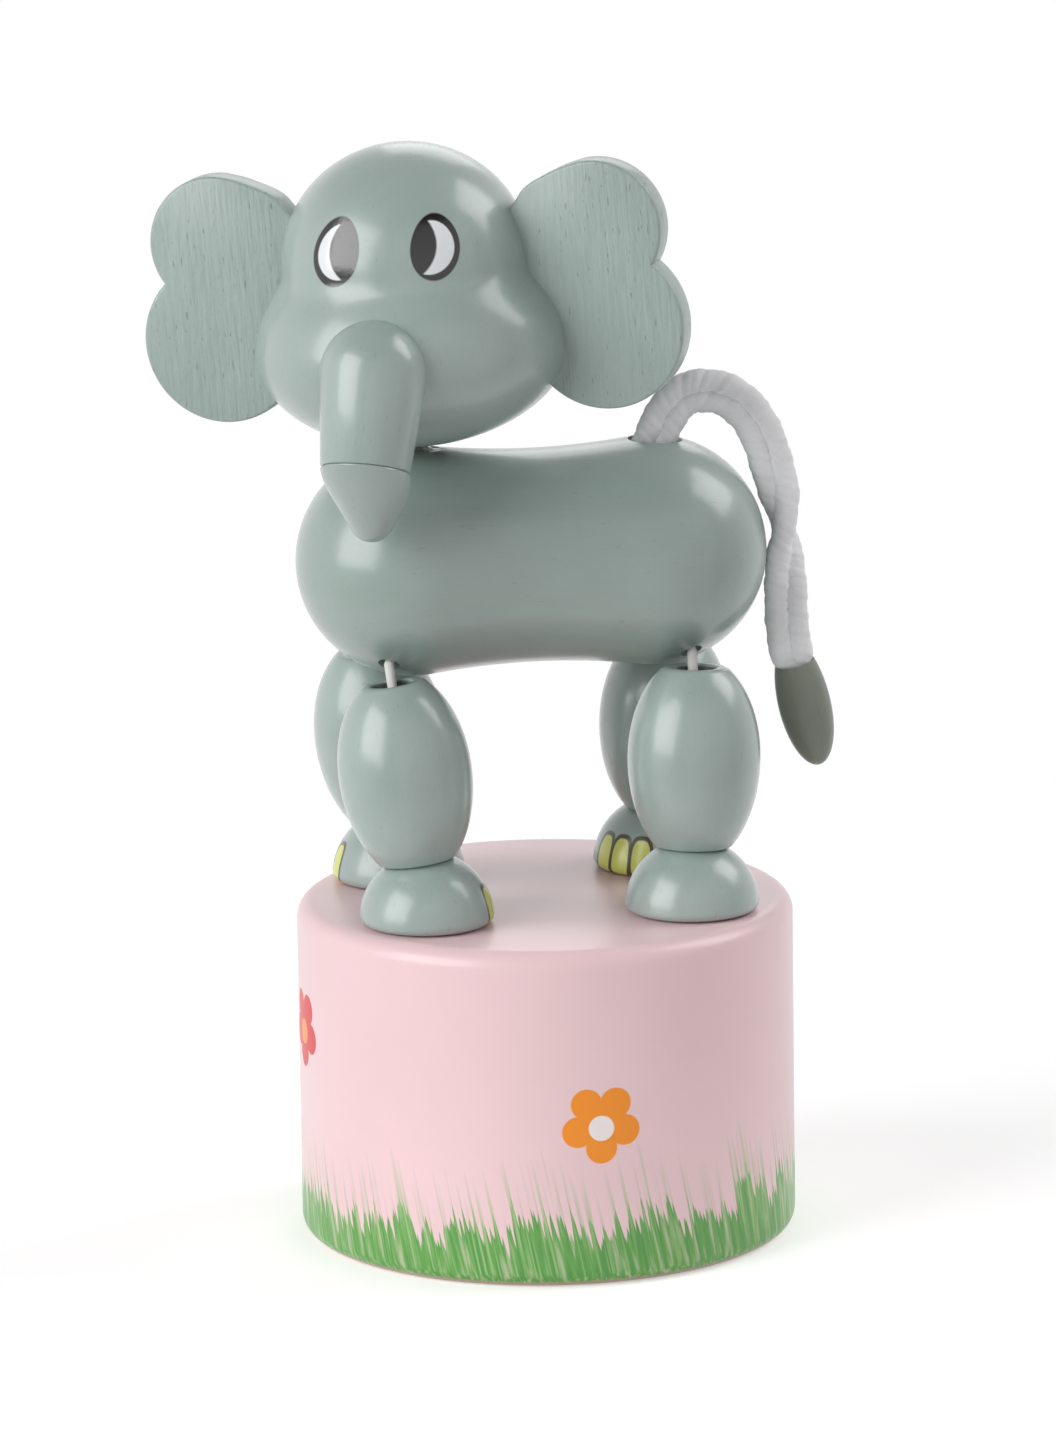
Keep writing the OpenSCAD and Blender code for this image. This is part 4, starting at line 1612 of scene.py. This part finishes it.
@dataclass
class Tail:
    """Two plied cotton strands that come out of the tail hole, twist once and end in a bead."""

    stance: Stance
    strand_r: float = 1.16
    strand_out: float = 1.05
    end_out: float = 0.65
    strand_sides: int = 30
    route_parts: int = 30
    plies: int = 3
    ply_pitch: float = 3.0
    ply_share: float = 0.9
    fill: float = 0.2
    swell: float = 0.035
    swell_pace: float = 1.9
    lump: float = 0.025
    lump_pace: float = 0.83
    twist_from: float = 8.5
    twist_to: float = 13.5
    bead_l: float = 10.9
    bead_r: float = 2.65
    bead_bulge: float = 4.4
    bead_bore_r: float = 1.7
    bead_bore_depth: float = 3.0
    bead_rim: float = 0.35
    bead_rim_drop: float = 0.1
    bead_lean: float = 13.0
    bead_low_steps: int = 24
    bead_high_steps: int = 14
    bead_top: Triple = (13.85, 0, -23.9)
    route: tuple[Pair, ...] = (
        (-2.1, -4.5), (-1.1, -2.3), (0, 0), (1.1, 2.3), (2.8, 4), (5, 4.4),
        (7.4, 3.7), (9.4, 1.9), (10.8, -0.6), (11.7, -3.5), (12.4, -6.4),
        (12.8, -9.4), (12.9, -12.6), (13, -16.1), (13.1, -19.7), (13.5, -22.6),
        (13.9, -24.2), (14.3, -25.8),
    )

    def build(self) -> None:
        bead = self.build_bead()
        cotton = TAIL_COTTON.material()
        for label, start in (("a", 0.0), ("b", pi)):
            self.build_strand(label, start, cotton)

    def build_bead(self) -> Piece:
        """Turns the long tail bead with its bore.

        Returns:
            The bead.
        """
        r, bore, bulge, depth = self.bead_r, self.bead_bore_r, self.bead_bulge, self.bead_bore_depth
        axis = bulge / sqrt(1 - ((bore + self.bead_rim) / r) ** 2)
        profile = [(0, -self.bead_l)]
        for i in range(1, self.bead_low_steps + 1):
            a = radians(-90 + 90 * i / self.bead_low_steps)
            profile.append((r * cos(a), (self.bead_l - bulge) * sin(a) - bulge))
        for i in range(1, self.bead_high_steps + 1):
            z = bulge * sin(radians(90 * i / self.bead_high_steps))
            profile.append((r * sqrt(1 - (z / axis) ** 2), z - bulge))
        profile += [(bore, -self.bead_rim_drop), (bore, -depth), (0, -depth)]
        place = Matrix.Translation((self.stance.tail_mouth + Vector(self.bead_top)) * MM)
        place = place @ Matrix.Rotation(radians(-self.bead_lean), 4, "Y")
        bead = put(turned("tail_drop", profile, 64), place)
        dress(bead, DARK_GREEN.material(bead.name, place), "tail", "tail_bead", 50)
        return bead

    def strand_line(self, start: float) -> list[Vector]:
        """The middle line of one strand, which turns half round the other on its way down.

        Args:
            start: Its first angle round the other, in radians.

        Returns:
            The line in millimetres.
        """
        route = [Vector((x, 0, z)) for x, z in self.route]
        points = []
        for i, point in enumerate(route):
            along = (route[min(i + 1, len(route) - 1)] - route[max(i - 1, 0)]).normalized()
            aside = Vector((along.z, 0, -along.x))
            t = min(1.0, max(0.0, (i - self.twist_from) / (self.twist_to - self.twist_from)))
            turn = start + pi * t * t * (3 - 2 * t)
            out = self.end_out if i > len(route) - 3 else self.strand_out
            away = cos(turn) * aside + sin(turn) * Vector((0, 1, 0))
            points.append(self.stance.tail_mouth + point + out * away)
        return smooth_line(points, self.route_parts)

    def reach(self, a: float, gone: float, start: float, toward: float) -> float:
        """How far a strand's surface is from its line, for a radius of 1.

        Args:
            a: Angle round the plies.
            gone: Distance along the strand.
            start: The strand's first angle round the other.
            toward: Share of the direction towards the other strand.

        Returns:
            The distance.
        """
        half, offset = pi / self.plies, 1 - self.ply_share
        off = (a + half) % (2 * half) - half
        reach = offset * cos(off) + sqrt(self.ply_share**2 - (offset * sin(off)) ** 2)
        reach *= 1 + 4 * self.fill * toward**2 * (1 - toward**2)
        swell = self.swell * sin(self.swell_pace * gone + start)
        return reach * (1 + swell + self.lump * sin(self.lump_pace * gone + 2 * a))

    def strand_points(self, line: list[Vector], other: list[Vector], start: float) -> list[Vector]:
        """Rings of points round a strand's line, which turn with its plies as they go.

        Args:
            line: The strand's line.
            other: The other strand's line.
            start: The strand's first angle round the other.

        Returns:
            The points in metres, ring by ring.
        """
        gone, points = 0.0, []
        for i, point in enumerate(line):
            along = (line[min(i + 1, len(line) - 1)] - line[max(i - 1, 0)]).normalized()
            across = along.cross(Vector((0, 1, 0))).normalized()
            up = across.cross(along)
            beside = (other[i] - point).normalized()
            gone += (point - line[i - 1]).length if i else 0.0
            for k in range(self.strand_sides):
                a = tau * k / self.strand_sides
                b = a + tau * gone / self.ply_pitch
                out = cos(b) * across + sin(b) * up
                reach = self.reach(a, gone, start, max(0.0, out.dot(beside)))
                points.append((point + self.strand_r * reach * out) * MM)
        return points

    def build_strand(self, label: str, start: float, cotton: Material) -> None:
        """Args:
            label: The strand's letter.
            start: Its first angle round the other strand.
            cotton: Its material.
        """
        line, sides = self.strand_line(start), self.strand_sides
        points = self.strand_points(line, self.strand_line(start + pi), start)
        last = len(points) - sides
        faces = [tuple(range(sides)), tuple(reversed(range(last, last + sides)))]
        for ring in range(0, last, sides):
            for k in range(sides):
                a, b = ring + k, ring + (k + 1) % sides
                faces.append((a, b, b + sides, a + sides))
        shape = bpy.data.meshes.new(f"tail_ply_{label}")
        shape.from_pydata(points, [], faces)
        strand = linked(shape.name, shape)
        mend_normals(strand)
        dress(strand, cotton, "tail", f"tail_strand_{label}", 75)
        tuple(self.stance.tail_mouth * MM)
        sum((b - a).length for a, b in zip(line, line[1:])) * MM
        [tuple(p * MM) for p in line]


# ---------------------------------------------------------------- the studio


@dataclass(frozen=True)
class Lamp:
    """A square lamp that faces the puppet, with its place and side in metres, its power in watts."""

    name: str
    place: Triple
    size: float
    power: float
    target: Triple = (0, 0, 0.055)

    def hang(self) -> None:
        """Hangs the lamp."""
        light = bpy.data.lights.new(self.name, "AREA")
        light.size = self.size
        light.energy = self.power
        aim = (Vector(self.target) - Vector(self.place)).to_track_quat("-Z", "Y")
        place = Matrix.Translation(self.place) @ aim.to_matrix().to_4x4()
        linked(self.name, light).matrix_world = place


@dataclass
class Studio:
    """The camera, a pale floor, a white surround and soft light: a large panel and faint fills."""

    azimuth: float = 8.919
    roll: float = -0.7997
    eye: Triple = (-0.152549, -0.962807, 0.275260)
    look: Triple = (0.15113, 0.96303, -0.22301)
    lens: float = 248.95
    sensor: float = 36.0
    view_end: float = 20.0
    floor_r: float = 0.6
    floor_lift: float = 0.42
    chalk: Colour = (0.9, 0.9, 0.9)
    fade_from: float = 0.05
    fade_to: float = 0.2
    surround: float = 0.36
    front_dim: float = 0.3
    front_from: float = -0.6
    front_to: float = 0.2
    dome_from: float = 0.2
    dome_to: float = 0.85
    ceiling: float = 0.28
    lamps: tuple[Lamp, ...] = (
        Lamp("left_panel", (-0.67, -0.3, 0.37), 0.62, 5.3),
        Lamp("right_soft_box", (0.55, 0.06, 0.54), 0.42, 2.1),
        Lamp("front_fill", (0.28, -0.85, 0.2), 1.5, 3.8),
        Lamp("rear_fill", (0.2, 0.7, 0.5), 0.4, 0.7),
    )

    def build_camera(self) -> None:
        """Sets the camera at the photograph's viewing angle."""
        turn, roll = radians(self.azimuth), radians(self.roll)
        ahead = Vector(self.look).normalized()
        right = Vector((cos(turn), -sin(turn), 0))
        up = right.cross(ahead)
        x = right * cos(roll) + up * sin(roll)
        y = up * cos(roll) - right * sin(roll)
        view = bpy.data.cameras.new("view")
        view.sensor_width = self.sensor
        view.lens = self.lens
        view.clip_end = self.view_end
        camera = linked("view", view)
        turned_view = Matrix((x, y, -ahead)).transposed().to_4x4()
        camera.matrix_world = Matrix.Translation(self.eye) @ turned_view
        bpy.context.scene.camera = camera

    def build_surround(self) -> None:
        """Makes the surround white where it is seen, and a softer light with a dim ceiling elsewhere."""
        world = bpy.data.worlds.new("surround")
        bpy.context.scene.world = world
        world.use_nodes = True
        wires = Wiring(world.node_tree)
        rays = wires.add("ShaderNodeLightPath").outputs
        _, behind, height = wires.axes(wires.add("ShaderNodeTexCoord").outputs["Generated"])
        dome = height.ramp(self.dome_from, self.dome_to, 1.0, self.ceiling)
        dome *= behind.ramp(self.front_from, self.front_to, self.front_dim, 1.0)
        mirrored = wires.calc("MAXIMUM", rays["Is Glossy Ray"], rays["Is Transmission Ray"])
        level = dome * mirrored.ramp(0.0, 1.0, self.surround, 1.0)
        back = world.node_tree.nodes["Background"]
        wires.feed(back.inputs[0], (1, 1, 1, 1))
        wires.feed(back.inputs[1], wires.calc("MAXIMUM", level, rays["Is Camera Ray"]))

    def build_floor(self) -> None:
        """Lays a round floor that keeps the shadow and runs out into the white surround."""
        bpy.ops.mesh.primitive_circle_add(vertices=96, radius=self.floor_r, fill_type="NGON")
        floor = bpy.context.object
        floor.name = "floor"
        material = bpy.data.materials.new("floor")
        material.use_nodes = True
        material.node_tree.nodes.clear()
        wires = Wiring(material.node_tree)
        rays = wires.add("ShaderNodeLightPath").outputs
        seen = wires.calc("MAXIMUM", rays["Is Glossy Ray"], rays["Is Transmission Ray"])
        seen = wires.calc("MAXIMUM", seen, rays["Is Camera Ray"])
        chalk = wires.add("ShaderNodeBsdfDiffuse", [(0, self.chalk)]).outputs[0]
        lift = wires.add("ShaderNodeEmission", [(1, seen * self.floor_lift)]).outputs[0]
        lit = wires.add("ShaderNodeAddShader", [(0, chalk), (1, lift)]).outputs[0]
        x, y, _ = wires.axes(wires.add("ShaderNodeTexCoord").outputs["Object"])
        fade = wires.far(x, y).ramp(self.fade_from, self.fade_to)
        clear = wires.add("ShaderNodeBsdfTransparent").outputs[0]
        mixed = wires.add("ShaderNodeMixShader", [(0, fade), (1, lit), (2, clear)]).outputs[0]
        wires.add("ShaderNodeOutputMaterial", [(0, mixed)])
        floor.data.materials.append(material)

    def build_lamps(self) -> None:
        """Hangs the lamps."""
        for lamp in self.lamps:
            lamp.hang()


def main() -> None:
    """Builds the studio and the puppet, in order."""
    logging.basicConfig(level=logging.INFO, format="%(name)s: %(message)s")
    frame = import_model()
    bpy.context.scene.view_settings.view_transform = "Standard"
    stance = Stance()
    studio = Studio()
    studio.build_camera()
    for assembly in (Tail, Drum, Legs, Strings, Torso):
        assembly(stance).build()
    Head(stance).build(frame["nodes"])
    studio.build_surround()
    studio.build_floor()
    studio.build_lamps()


if __name__ == "__main__":
    main()
